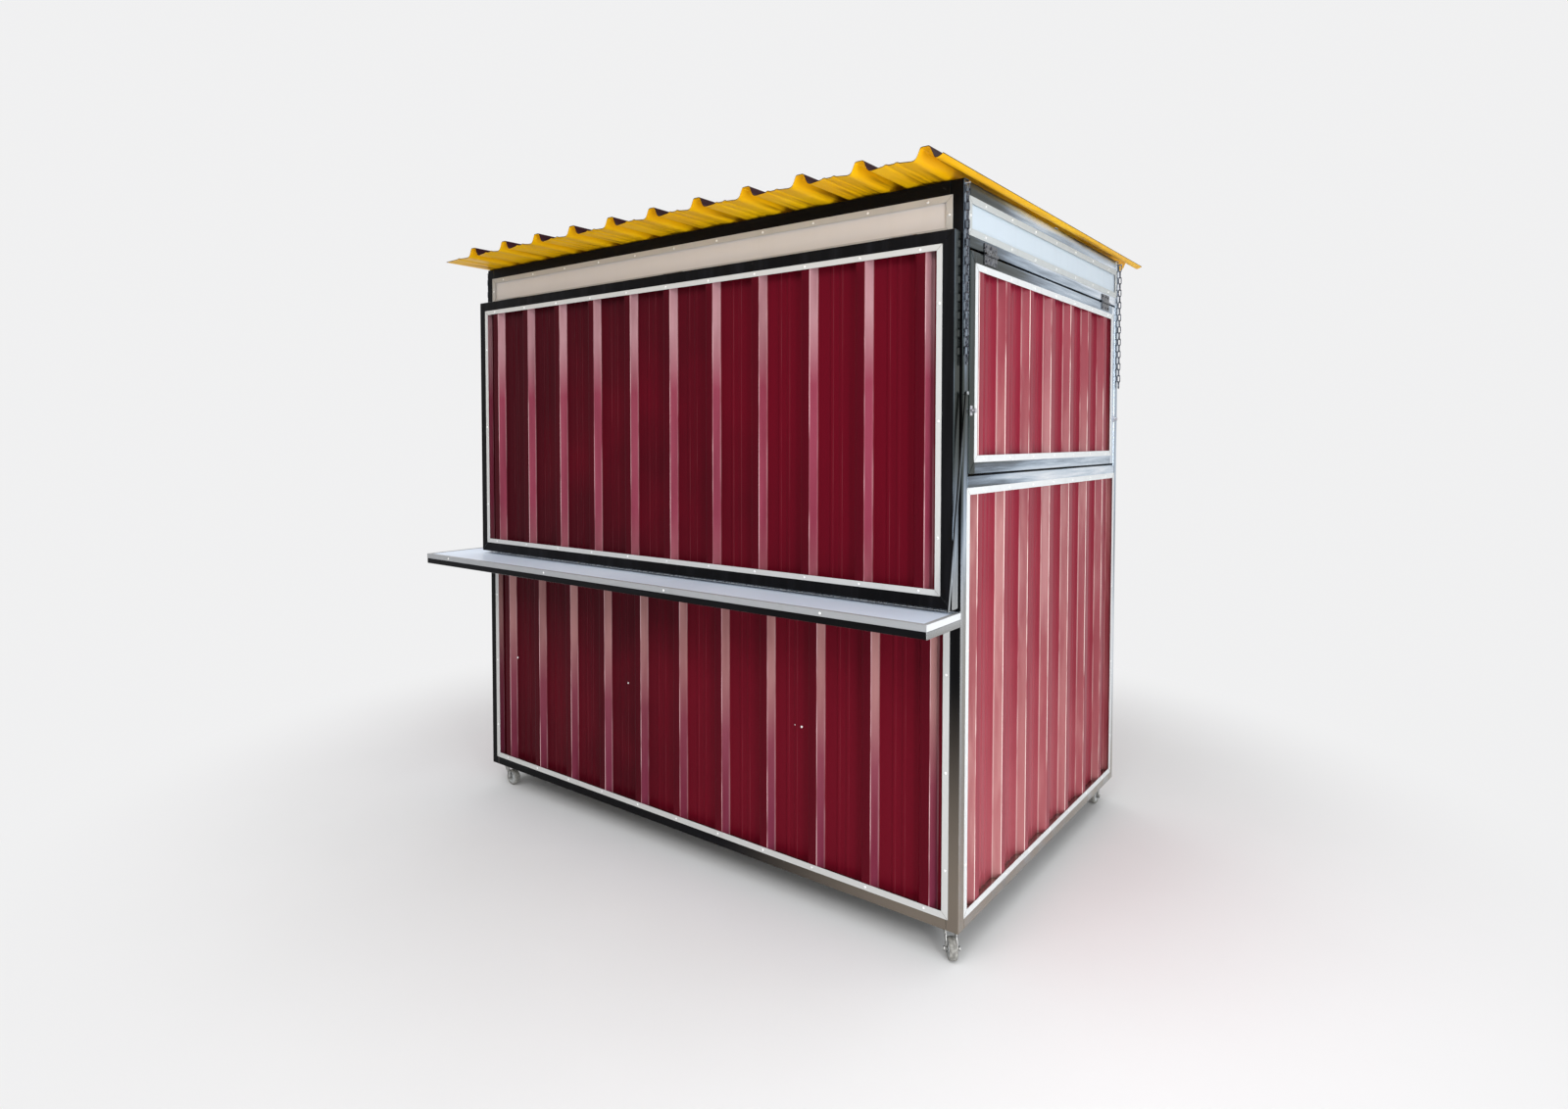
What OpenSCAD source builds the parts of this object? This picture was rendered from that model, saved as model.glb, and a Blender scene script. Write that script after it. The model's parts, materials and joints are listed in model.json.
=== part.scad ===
// Street kiosk on casters: a square-tube frame clad in ribbed sheet, with top-hung serving flaps,
// an L-shaped counter and a ribbed roof.
// X runs along the front with +X to the right, Y runs from the front (-) to the back (+), Z is up.
// The origin is on the ground, under the middle of the overall box.

/* [Frame] */
// Width of the frame over its posts
frame_w = 2200; // [1600:10:3000]
// Depth of the frame over its posts
frame_d = 1480; // [1000:10:2400]
// Height of the frame from base rail to top rail
frame_h = 2140; // [1900:10:2600]
// Side of the square tube
tube = 40; // [30:1:50]
// Height of the side flaps' sill above the frame's underside
sill_h = 1310; // [1150:5:1450]
// Height of the white fascia between header rail and top rail
fascia_h = 103; // [60:1:200]
// Thickness of a fascia board
fascia_t = 6; // [3:1:12]
// Setback of a fascia board behind the tube face
fascia_set = 4; // [3:1:20]

/* [Ribbed sheet] */
// Spacing of the wall ribs
rib_pitch = 198; // [150:1:250]
// Height of a rib
rib_h = 27; // [15:1:30]
// Width of a rib at its foot
rib_foot = 62; // [40:1:90]
// Width of a rib at its crest
rib_crest = 28; // [15:1:40]
// Height of the two low swages in each pan
swage_h = 2.5; // [1:0.5:5]
// Width of a swage
swage_w = 16; // [8:1:24]
// Thickness of the sheet
sheet_t = 2; // [1:0.5:3]
// Setback of the rib crests behind the tube face
crest_set = 2; // [1:0.5:6]
// Shift of the side walls' ribs towards the front
side_rib_shift = 14; // [0:1:60]

/* [Trim] */
// Width of the white strips around a wall
trim_w = 20; // [14:1:34]
// Width of the white strips around the front flap's panel
flap_trim_w = 17; // [12:1:40]
// Lap of those strips over the front flap's tube
flap_lap = 3; // [2:1:10]
// Lap of a strip over the tube beside it
trim_lap = 7; // [3:1:10]
// Thickness of a strip
trim_t = 1.2; // [1:0.1:2]
// Gap between a strip's end and the counter's wing
wing_gap = 4; // [3:0.5:10]

/* [Roof] */
// Overhang of the roof at the front
roof_front = 203; // [80:1:400]
// Overhang of the roof at the back
roof_rear = 203; // [80:1:400]
// Overhang of the roof's lip at the right
roof_right = 36; // [10:1:120]
// Distance of the roof's left edge inside the frame
roof_left_in = 7; // [0:1:30]
// Spacing of the roof ribs
roof_pitch = 199; // [150:1:250]
// Height of a roof rib
roof_rib_h = 33; // [15:1:45]
// Distance of the last rib's crest from the roof's right edge
roof_last_rib = 52; // [45:1:120]
// Rise of the lip at the roof's right edge
lip_rise = 7; // [3:1:15]
// Width of that lip
lip_w = 14; // [8:1:20]
// Height of the packing battens under the roof
batten_h = 2; // [1:1:30]
// Width of a batten
batten_w = 30; // [20:1:40]

/* [Counter] */
// Height of the counter's top above the frame's underside
counter_h = 926; // [800:2:1100]
// Reach of the counter in front of the posts
counter_d = 208; // [120:2:400]
// Reach of the counter's wing beyond the left posts
wing_d = 156; // [80:2:300]
// Height of the counter's white edge
edge_h = 18; // [12:1:30]
// Width of the white edge over the top
edge_w = 16; // [8:1:30]
// Thickness of the edge strip, a thin angle with a flange over the board
edge_t = 1.5; // [1:0.1:2]
// Side of the tube under the counter
counter_tube = 22; // [16:1:40]

/* [Flaps] */
// Depth of a flap's tube
flap_t = 38; // [25:1:40]
// Width of a flap's tube
flap_tube = 40; // [25:1:50]
// Gap between the front flap and the posts behind it
flap_gap = 6.5; // [6:0.5:15]
// Inset of the front flap's ends from the frame's sides
flap_inset = 5; // [3:1:20]
// Gap between the front flap's foot and the counter
flap_foot_gap = 12; // [6:1:40]
// Running gap around a side flap
run_gap = 6; // [5:0.5:12]

/* [Hinges] */
// Length of a hinge
hinge_len = 90; // [50:2:120]
// Height of a hinge leaf
leaf_h = 30; // [20:1:38]
// Thickness of a hinge leaf
leaf_t = 2.5; // [1.5:0.5:4]
// Radius of a hinge knuckle
knuckle_r = 4; // [3.5:0.5:8]
// Radius of a hinge pin
pin_r = 2; // [1.5:0.25:2.75]
// Clearance around pins and between knuckles
pin_gap = 0.3; // [0.2:0.05:0.6]
// Distance of a side hinge's middle from the flap's end
hinge_in = 136; // [80:2:300]
// Distance of the front flap's top below the fascia's lower edge
flap_top_drop = 3; // [1:0.5:8]
// Gap between a front knuckle and the flap's top
knuckle_lift = 2.5; // [2.5:0.5:6]
// Reach of a front knuckle behind the flap's back
knuckle_back = 3; // [1:0.5:4]
// Thickness of a leaf on the front flap's top
top_leaf_t = 2; // [1:0.25:2]

/* [Props and chains] */
// Width of a prop
prop_w = 10; // [8:1:26]
// Thickness of a prop
prop_t = 4; // [3:0.5:6]
// Lean of the right prop at rest
prop_lean = 9.8; // [0:0.2:20]
// Drop of the prop's pivot below the frame's top
prop_drop = 595; // [560:5:800]
// Gap between the foot of a straight prop and the counter
prop_foot_gap = 8; // [6:1:60]
// Distance of the pivot behind the post's front face
prop_y = 9; // [8:1:30]
// Stand-off of a prop from the post
prop_off = 5; // [4:0.5:12]
// Radius of the prop's pin
prop_pin_r = 2.5; // [2:0.5:6]
// Radius of the peg holes along a prop
prop_hole_r = 1.5; // [1:0.5:5]
// Height of a side flap's chain eyes above the sill
eye_up = 187; // [60:1:400]
// Width of an eye
eye_w = 14; // [10:1:20]
// Reach of an eye
eye_out = 16; // [12:1:24]
// Radius of the hole in an eye
eye_hole = 3; // [2:0.5:4]
// Length of a hanging chain
chain_len = 500; // [200:5:560]
// Width of the chain
chain_w = 9; // [5:0.5:12]
// Distance of a chain from the post's outer edge
chain_in = 9; // [6:1:20]

/* [Casters] */
// Height of a caster from ground to frame
caster_h = 95; // [85:1:150]
// Radius of a wheel
wheel_r = 32.5; // [25:0.5:36]
// Width of a wheel
wheel_w = 24; // [16:1:30]
// Distance of the wheel's axle from the swivel
trail = 28; // [20:1:40]
// Distance of the swivel from the frame's corner faces
swivel_in = 50; // [45:1:90]
// Side of the caster's plate
plate = 66; // [50:1:90]
// Radius of the axle
axle_r = 5; // [3:0.5:6]
// Width of a fork's leg under the crown
leg_w = 30; // [20:1:40]
// Width of the fork's metal around the axle
axle_boss = 4; // [3:0.5:8]
// Thickness of the tyre
tyre_t = 9; // [6:0.5:14]
// Width of the hub's rim around the axle
hub_rim = 5; // [3:0.5:8]
// Depth of the recess in a wheel's face
wheel_recess = 3; // [1:0.5:6]
// Resting turn of the front left caster about its swivel
turn_front_left = 0; // [-180:1:180]
// Resting turn of the front right caster
turn_front_right = -52; // [-180:1:180]
// Resting turn of the rear left caster
turn_rear_left = -115; // [-180:1:180]
// Resting turn of the rear right caster
turn_rear_right = -90; // [-180:1:180]

/* [Rear door] */
// Clear width between the rear jambs
door_w = 760; // [600:5:900]
// Length of the door's pull
pull_len = 120; // [80:2:200]
// Reach of the pull
pull_out = 35; // [25:1:60]
// Radius of the pull's bar
pull_r = 6; // [4:0.5:10]

/* [View] */
// Piece to show, or all

/* [Hidden] */
$fn = 48;
half_w = frame_w / 2;
// Middle of the overall box, which the origin sits under
x_mid = (roof_right - wing_d) / 2;
y_mid = (frame_d + roof_rear - counter_d) / 2;
top_z = frame_h - tube;
header_z = top_z - fascia_h - tube;
mid_z = sill_h - tube;
counter_rail_z = counter_h - tube;
counter_base_z = counter_h - edge_h - counter_tube;
jamb_in = door_w / 2;
// Depth of a pan's face behind the tube face
pan_set = crest_set + rib_h;
// Front flap
front_flap_half = half_w - flap_inset;
front_flap_z = counter_h + flap_foot_gap;
front_flap_top = header_z + tube - flap_top_drop;
front_axis_y = -flap_gap - knuckle_r + knuckle_back;
front_axis_z = front_flap_top + knuckle_r + knuckle_lift;
front_hinge_x = front_flap_half - hinge_in - hinge_len / 2;
// Side flaps
side_flap_z = sill_h + run_gap;
side_flap_top = header_z - run_gap;
side_flap_y = tube + run_gap;
side_flap_len = frame_d - 2 * side_flap_y;
side_axis_z = header_z - run_gap / 2;
side_axis_out = knuckle_r + 1;
// Rear door
door_gap = run_gap;
door_z = tube + door_gap;
door_top = header_z - door_gap;
// Caster
axle_z = wheel_r - caster_h;
plate_t = 3;
race_h = 8;
race_r = 20;
crown_t = 5;
crown_r = 23;
king_r = 5;
fork_t = 3;
fork_gap = 2;
fork_in = wheel_w / 2 + fork_gap;
axle_end = 2;
nut_h = 4;
nut_rim = 3;
crown_z = -plate_t - race_h - pin_gap - crown_t;
// A prop's pivot, and its length down to a foot that clears the counter as it swings
prop_z = frame_h - prop_drop;
prop_len = prop_z - counter_h - prop_foot_gap - prop_w / 2;
pin_head = 4;
hook_r = 2.5;
hook_drop = 12;
hook_z = frame_h - hook_drop;
chain_off = 7;
hook_end = 3;
// Setback of the bends at a rib's crest, and their height as a share of the rib's
crest_bend = 2;
bend_share = 0.94;
// How much narrower a roof rib is at its foot and crest than a wall rib
roof_foot_less = 6;
roof_crest_less = 4;
// How far a cut runs on past a face, and how far joined blocks run into each other
past = 1;
maroon = [0.48, 0.10, 0.16];
steel = [0.55, 0.57, 0.60];
black = [0.09, 0.09, 0.10];
white = [0.92, 0.92, 0.90];
yellow = [0.93, 0.66, 0.08];
zinc = [0.66, 0.68, 0.70];
rubber = [0.16, 0.16, 0.17];

// Moves the frame's own axes (front face of the posts, underside of the rails) to the part's origin
module placed() {
    translate([-x_mid, -y_mid, caster_h]) children();
}

// Box between two corners
module block(a, b) {
    translate(a) cube(b - a);
}

// Turns a piece drawn for the front to another side; each side's face stays at its own depth
module at_right() {
    translate([half_w, frame_d / 2, 0]) rotate([0, 0, 90]) children();
}

module at_left() {
    translate([-half_w, frame_d / 2, 0]) rotate([0, 0, -90]) children();
}

module at_rear() {
    translate([0, frame_d, 0]) rotate([0, 0, 180]) children();
}

// Flat ring around an opening, standing in the XZ plane with its face towards -Y
module ring(x0, x1, z0, z1, width, depth) {
    difference() {
        block([x0, 0, z0], [x1, depth, z1]);
        block([x0 + width, -past, z0 + width], [x1 - width, depth + past, z1 - width]);
    }
}

// White strip ring around an opening in tubes, laid on the tube faces; its top may lap otherwise
module trim_ring(x0, x1, z0, z1, width, lap = trim_lap, top_lap = undef) {
    translate([0, -trim_t, 0])
        ring(x0 - lap, x1 + lap, z0 - lap, z1 + (is_undef(top_lap) ? lap : top_lap), width, trim_t);
}

// Outline of one rib, as [along, out] points
function rib_points(c, foot, crest, h) = [
    [c - foot / 2, 0],
    [c - crest / 2 - crest_bend, h * bend_share],
    [c - crest / 2 + crest_bend, h],
    [c + crest / 2 - crest_bend, h],
    [c + crest / 2 + crest_bend, h * bend_share],
    [c + foot / 2, 0]
];

// Outline of one low swage
function swage_points(c) = [
    [c - swage_w / 2, 0],
    [c - swage_w / 6, swage_h],
    [c + swage_w / 6, swage_h],
    [c + swage_w / 2, 0]
];

// Outline of a ribbed sheet from x0 to x1 with ribs at the given places
function sheet_line(x0, x1, ribs, foot, crest, h, pitch) = concat(
    [[x0, 0]],
    [for (c = ribs) each concat(
        c - pitch / 2 - pitch / 12 - swage_w / 2 > x0 && c == ribs[0] ? swage_points(c - pitch / 2) : [],
        rib_points(c, foot, crest, h),
        c + pitch / 2 + pitch / 12 + swage_w / 2 < x1
            ? concat(swage_points(c + pitch / 2 - pitch / 12), swage_points(c + pitch / 2 + pitch / 12)) : [])],
    [[x1, 0]]
);

// Gives the line a thickness on its inner side; out is towards -Y
module sheet_section(line) {
    polygon(concat(
        [for (p = line) [p[0], -p[1]]],
        [for (i = [len(line) - 1:-1:0]) [line[i][0], sheet_t - line[i][1]]]));
}

// Places of ribs spaced from the shifted middle of a panel
function rib_places(x0, x1, shift) = [
    for (k = [-12:12]) if (k * rib_pitch + shift - rib_foot / 2 > x0 + trim_w - trim_lap
        && k * rib_pitch + shift + rib_foot / 2 < x1 - trim_w + trim_lap) k * rib_pitch + shift];

// Ribbed wall panel in the XZ plane, facing -Y, with its pan's face at y = depth
module wall_panel(x0, x1, z0, z1, depth, shift = 0) {
    translate([0, depth, z0]) linear_extrude(z1 - z0)
        sheet_section(sheet_line(x0, x1, rib_places(x0, x1, shift), rib_foot, rib_crest, rib_h, rib_pitch));
}

// Knuckles of one hinge along X: the fixed one carries the pin, the other two turn on it
module fixed_knuckle() {
    rotate([0, 90, 0]) {
        translate([0, 0, -hinge_len / 6]) cylinder(r = knuckle_r, h = hinge_len / 3);
        translate([0, 0, -hinge_len / 2]) cylinder(r = pin_r, h = hinge_len);
    }
}

module turning_knuckles() {
    for (s = [-1, 1])
        translate([s * hinge_len / 3, 0, 0]) rotate([0, 90, 0]) difference() {
            cylinder(r = knuckle_r, h = hinge_len / 3 - 2 * pin_gap, center = true);
            cylinder(r = pin_r + pin_gap, h = hinge_len, center = true);
        }
}

// Surface hinge on a flush flap, drawn for the front with its leaves on the face y = 0
module flush_fixed_leaf() {
    translate([0, -side_axis_out, 0]) fixed_knuckle();
    block([-hinge_len / 2, -leaf_t, knuckle_r + pin_gap], [hinge_len / 2, 0, leaf_h]);
    block([-hinge_len / 6, -side_axis_out, 0], [hinge_len / 6, 0, run_gap / 2]);
    block([-hinge_len / 6, -leaf_t - past, 0], [hinge_len / 6, 0, knuckle_r + 2 * pin_gap]);
}

module flush_turning_leaf() {
    difference() {
        union() {
            translate([0, -side_axis_out, 0]) turning_knuckles();
            block([-hinge_len / 2, -leaf_t, -leaf_h], [hinge_len / 2, 0, -knuckle_r - pin_gap]);
            for (s = [-1, 1]) translate([s * hinge_len / 3, 0, 0]) {
                block([-hinge_len / 6 + pin_gap, -side_axis_out, -run_gap / 2], [hinge_len / 6 - pin_gap, 0, 0]);
                block([-hinge_len / 6 + pin_gap, -leaf_t - past, -knuckle_r - 2 * pin_gap],
                    [hinge_len / 6 - pin_gap, 0, 0]);
            }
        }
        translate([0, -side_axis_out, 0]) rotate([0, 90, 0])
            cylinder(r = pin_r + pin_gap, h = hinge_len + 2 * past, center = true);
    }
}

module base_rails() {
    color(steel) placed() {
        for (y = [0, frame_d - tube])
            block([-half_w + tube, y, 0], [half_w - tube, y + tube, tube]);
        for (x = [-half_w, half_w - tube])
            block([x, tube, 0], [x + tube, frame_d - tube, tube]);
    }
}

module upper_rails() {
    color(steel) placed() {
        block([-half_w + tube, 0, counter_rail_z], [half_w - tube, tube, counter_h]);
        for (z = [header_z, top_z]) {
            for (y = [0, frame_d - tube])
                block([-half_w + tube, y, z], [half_w - tube, y + tube, z + tube]);
            for (x = [-half_w, half_w - tube])
                block([x, tube, z], [x + tube, frame_d - tube, z + tube]);
        }
        for (x = [-half_w, half_w - tube])
            block([x, tube, mid_z], [x + tube, frame_d - tube, sill_h]);
        for (s = [-1, 1])
            block([min(s * (half_w - tube), s * (jamb_in + tube)), frame_d - tube, mid_z],
                [max(s * (half_w - tube), s * (jamb_in + tube)), frame_d, sill_h]);
    }
}

module corner_posts(y) {
    for (x = [-half_w, half_w - tube])
        block([x, y, 0], [x + tube, y + tube, frame_h]);
}

module front_posts() {
    color(steel) placed() corner_posts(0);
}

module rear_posts() {
    color(steel) placed() corner_posts(frame_d - tube);
}

module rear_jambs() {
    color(steel) placed()
        for (x = [-jamb_in - tube, jamb_in])
            block([x, frame_d - tube, tube], [x + tube, frame_d, header_z]);
}

module roof_battens() {
    color(steel) placed()
        for (y = [tube / 2, frame_d / 2, frame_d - tube / 2])
            block([-half_w + roof_left_in, y - batten_w / 2, frame_h],
                [half_w, y + batten_w / 2, frame_h + batten_h]);
}

module roof_sheet() {
    x0 = -half_w + roof_left_in;
    x1 = half_w + roof_right;
    last = x1 - roof_last_rib;
    count = floor((last - rib_foot / 2 - x0) / roof_pitch);
    ribs = [for (k = [count:-1:0]) last - k * roof_pitch];
    line = concat(
        sheet_line(x0, x1 - lip_w, ribs, rib_foot - roof_foot_less, rib_crest - roof_crest_less,
            roof_rib_h, roof_pitch),
        [[x1, lip_rise]]);
    color(yellow) placed()
        translate([0, frame_d + roof_rear, frame_h + batten_h + sheet_t]) rotate([90, 0, 0])
            linear_extrude(frame_d + roof_rear + roof_front) mirror([0, 1]) sheet_section(line);
}

module front_wall() {
    color(maroon) placed()
        wall_panel(-half_w + tube, half_w - tube, tube, counter_rail_z, pan_set);
}

// Side panel between the posts, as long as the frame's depth allows
module side_panel(shift) {
    wall_panel(-frame_d / 2 + tube, frame_d / 2 - tube, tube, mid_z, pan_set, shift);
}

module right_wall() {
    color(maroon) placed() at_right() side_panel(-side_rib_shift);
}

module left_wall() {
    color(maroon) placed() at_left() side_panel(side_rib_shift);
}

module rear_walls() {
    color(maroon) placed() at_rear()
        for (s = [-1, 1], zz = [[tube, mid_z], [sill_h, header_z]])
            wall_panel(min(s * (half_w - tube), s * (jamb_in + tube)), max(s * (half_w - tube), s * (jamb_in + tube)),
                zz[0], zz[1], pan_set, s * rib_pitch / 2);
}

module wall_trims() {
    color(white) placed() {
        trim_ring(-half_w + tube, half_w - tube, tube, counter_base_z, trim_w, top_lap = -past);
        at_right() trim_ring(-frame_d / 2 + tube, frame_d / 2 - tube, tube, mid_z, trim_w);
        at_left() difference() {
            trim_ring(-frame_d / 2 + tube, frame_d / 2 - tube, tube, mid_z, trim_w);
            block([-frame_d / 2, -trim_t - past, counter_base_z - wing_gap],
                [frame_d / 2, trim_t, counter_h + wing_gap]);
        }
        at_rear() for (s = [-1, 1], zz = [[tube, mid_z], [sill_h, header_z]])
            trim_ring(min(s * (half_w - tube), s * (jamb_in + tube)), max(s * (half_w - tube), s * (jamb_in + tube)),
                zz[0], zz[1], trim_w);
    }
}

module fascia_boards() {
    color(white) placed() {
        for (side = [0, 1]) rotate_side(side)
            block([-half_w + tube, fascia_set, header_z + tube], [half_w - tube, fascia_set + fascia_t, top_z]);
        for (side = [2, 3]) rotate_side(side)
            block([-frame_d / 2 + tube, fascia_set, header_z + tube],
                [frame_d / 2 - tube, fascia_set + fascia_t, top_z]);
    }
}

// Side 0 is the front, 1 the back, 2 the right and 3 the left
module rotate_side(side) {
    if (side == 0) children();
    if (side == 1) at_rear() children();
    if (side == 2) at_right() children();
    if (side == 3) at_left() children();
}

module fascia_trims() {
    color(white) placed() {
        for (side = [0, 1]) rotate_side(side)
            trim_ring(-half_w + tube, half_w - tube, header_z + tube, top_z, trim_w, top_lap = 0);
        for (side = [2, 3]) rotate_side(side)
            trim_ring(-frame_d / 2 + tube, frame_d / 2 - tube, header_z + tube, top_z, trim_w, top_lap = 0);
    }
}

// Plan of the counter: a front stretch and a left wing, cut back by the given amount on its outer edges
module counter_plan(back) {
    polygon([
        [-half_w - wing_d + back, -counter_d + back],
        [half_w - back, -counter_d + back],
        [half_w - back, 0],
        [-half_w, 0],
        [-half_w, frame_d - back],
        [-half_w - wing_d + back, frame_d - back]
    ]);
}

module counter_frame() {
    color(black) placed() translate([0, 0, counter_base_z]) {
        difference() {
            linear_extrude(counter_tube) counter_plan(0);
            block([-half_w - wing_d + counter_tube, -counter_d + counter_tube, -past],
                [half_w - counter_tube, -counter_tube, counter_tube + past]);
            block([-half_w - wing_d + counter_tube, -counter_tube - past, -past],
                [-half_w - counter_tube, frame_d - counter_tube, counter_tube + past]);
        }
        for (x = [-frame_w / 4, 0, frame_w / 4])
            block([x - counter_tube / 2, -counter_d + counter_tube / 2, 0],
                [x + counter_tube / 2, -counter_tube / 2, counter_tube]);
    }
}

// The board's border is lowered to take the edge strip's flange, so the two are flush
module counter_top() {
    color(white) placed() translate([0, 0, counter_h - edge_h]) {
        linear_extrude(edge_h - edge_t) counter_plan(edge_t);
        linear_extrude(edge_h) counter_plan(edge_w);
    }
}

module counter_edge() {
    color(white) placed() {
        translate([0, 0, counter_h - edge_h]) difference() {
            linear_extrude(edge_h) counter_plan(0);
            translate([0, 0, -past]) linear_extrude(edge_h - edge_t + past) counter_inner(edge_t);
            translate([0, 0, -past]) linear_extrude(edge_h + 2 * past) counter_inner(edge_w);
        }
    }
}

// Counter plan cut back on its outer edges and run on past its inner edges
module counter_inner(back) {
    polygon([
        [-half_w - wing_d + back, -counter_d + back],
        [half_w - back, -counter_d + back],
        [half_w - back, past],
        [-half_w + past, past],
        [-half_w + past, frame_d - back],
        [-half_w - wing_d + back, frame_d - back]
    ]);
}

// Places of the side hinges along the flap
function side_hinges() = [-side_flap_len / 2 + hinge_in, side_flap_len / 2 - hinge_in];

module hinge_leaves() {
    color(black) placed() {
        for (x = [-front_hinge_x, 0, front_hinge_x]) translate([x, 0, 0]) {
            translate([0, front_axis_y, front_axis_z]) fixed_knuckle();
            block([-hinge_len / 2, -leaf_t - trim_t, front_axis_z - leaf_h - knuckle_r],
                [hinge_len / 2, 0, header_z + tube - trim_lap - past / 2]);
            block([-hinge_len / 6, -leaf_t - trim_t, header_z + tube - trim_lap - past],
                [hinge_len / 6, -trim_t, front_axis_z]);
            block([-hinge_len / 6, front_axis_y, front_axis_z],
                [hinge_len / 6, -trim_t, front_axis_z + knuckle_r]);
        }
        for (u = side_hinges()) {
            at_right() translate([u, 0, side_axis_z]) flush_fixed_leaf();
            at_left() translate([u, 0, side_axis_z]) flush_fixed_leaf();
        }
    }
}

module front_flap_frame() {
    color(black) placed() translate([0, -flap_gap - flap_t, 0])
        ring(-front_flap_half, front_flap_half, front_flap_z, front_flap_top, flap_tube, flap_t);
}

module front_flap_panel() {
    color(maroon) placed() translate([0, -flap_gap - flap_t, 0])
        wall_panel(-front_flap_half + flap_tube, front_flap_half - flap_tube,
            front_flap_z + flap_tube, front_flap_top - flap_tube, pan_set);
}

module front_flap_trim() {
    color(white) placed() translate([0, -flap_gap - flap_t, 0])
        trim_ring(-front_flap_half + flap_tube, front_flap_half - flap_tube,
            front_flap_z + flap_tube, front_flap_top - flap_tube, flap_trim_w, flap_lap);
}

module front_flap_leaves() {
    color(black) placed()
        for (x = [-front_hinge_x, 0, front_hinge_x]) translate([x, 0, 0]) difference() {
            union() {
                translate([0, front_axis_y, front_axis_z]) turning_knuckles();
                block([-hinge_len / 2, -flap_gap - leaf_h, front_flap_top],
                    [hinge_len / 2, -flap_gap, front_flap_top + top_leaf_t]);
                for (s = [-1, 1])
                    block([s * hinge_len / 3 - hinge_len / 6 + pin_gap, front_axis_y - knuckle_r, front_flap_top],
                        [s * hinge_len / 3 + hinge_len / 6 - pin_gap, front_axis_y + pin_r, front_axis_z]);
            }
            translate([0, front_axis_y, front_axis_z]) rotate([0, 90, 0])
                cylinder(r = pin_r + pin_gap, h = hinge_len + 2 * past, center = true);
        }
}

// Side flap drawn for the front: its face lies in the tube faces' plane
module side_flap_frame() {
    ring(-side_flap_len / 2, side_flap_len / 2, side_flap_z, side_flap_top, flap_tube, flap_t);
}

module side_flap_panel(shift) {
    wall_panel(-side_flap_len / 2 + flap_tube, side_flap_len / 2 - flap_tube,
        side_flap_z + flap_tube, side_flap_top - flap_tube, pan_set, shift);
}

module side_flap_trim() {
    trim_ring(-side_flap_len / 2 + flap_tube, side_flap_len / 2 - flap_tube,
        side_flap_z + flap_tube, side_flap_top - flap_tube, trim_w);
}

// Hinge leaves on the flap and the two eyes that the chains hook into
module side_flap_fittings() {
    for (u = side_hinges()) translate([u, 0, side_axis_z]) flush_turning_leaf();
    for (s = [-1, 1])
        translate([s * (side_flap_len / 2 - eye_w / 2 - past), 0, sill_h + eye_up]) {
            block([-eye_w / 2, -leaf_t, -eye_w], [eye_w / 2, 0, eye_w]);
            rotate([90, 0, 0]) difference() {
                cylinder(r = eye_w / 2, h = eye_out);
                translate([0, 0, eye_out - eye_w / 2 + past]) rotate([0, 90, 0])
                    cylinder(r = eye_hole, h = 2 * eye_w, center = true);
            }
        }
}

module right_flap_frame() {
    color(steel) placed() at_right() side_flap_frame();
}

module right_flap_panel() {
    color(maroon) placed() at_right() side_flap_panel(-side_rib_shift);
}

module right_flap_trim() {
    color(white) placed() at_right() side_flap_trim();
}

module right_flap_fittings() {
    color(zinc) placed() at_right() side_flap_fittings();
}

module left_flap_frame() {
    color(steel) placed() at_left() side_flap_frame();
}

module left_flap_panel() {
    color(maroon) placed() at_left() side_flap_panel(side_rib_shift);
}

module left_flap_trim() {
    color(white) placed() at_left() side_flap_trim();
}

module left_flap_fittings() {
    color(zinc) placed() at_left() side_flap_fittings();
}

module rear_door_frame() {
    color(steel) placed() at_rear()
        ring(-jamb_in + door_gap, jamb_in - door_gap, door_z, door_top, flap_tube, flap_t);
}

module rear_door_panel() {
    color(maroon) placed() at_rear()
        wall_panel(-jamb_in + door_gap + flap_tube, jamb_in - door_gap - flap_tube,
            door_z + flap_tube, door_top - flap_tube, pan_set);
}

// Plain hinges across the gap and a pull on the other stile
module rear_door_fittings() {
    color(black) placed() at_rear() {
        for (z = [0.15, 0.5, 0.85]) translate([jamb_in - door_gap / 2, 0, door_z + z * (door_top - door_z)]) {
            block([-leaf_h, -leaf_t, -hinge_len / 2], [leaf_h, 0, hinge_len / 2]);
            translate([0, -knuckle_r, -hinge_len / 2]) cylinder(r = knuckle_r, h = hinge_len);
        }
        translate([-jamb_in + door_gap + flap_tube / 2, 0, counter_h]) {
            for (s = [-1, 1]) translate([0, 0, s * pull_len / 2]) rotate([90, 0, 0])
                cylinder(r = pull_r, h = pull_out);
            translate([0, -pull_out, -pull_len / 2 - pull_r]) cylinder(r = pull_r, h = pull_len + 2 * pull_r);
        }
    }
}

// Pins that carry the props, and the hooks that the chains hang from
module post_fittings() {
    color(zinc) placed() for (s = [-1, 1]) {
        translate([s * half_w, prop_y, prop_z]) rotate([0, s * 90, 0]) {
            cylinder(r = 2 * prop_pin_r, h = prop_off - pin_gap);
            cylinder(r = prop_pin_r, h = prop_off + prop_t + pin_head);
            translate([0, 0, prop_off + prop_t + pin_gap]) cylinder(r = 2 * prop_pin_r, h = pin_head - pin_gap);
        }
        for (y = [chain_in, frame_d - chain_in]) translate([s * half_w, y, hook_z])
            rotate([0, s * 90, 0]) cylinder(r = hook_r, h = chain_off + chain_w / 2 + hook_end);
    }
}

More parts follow.
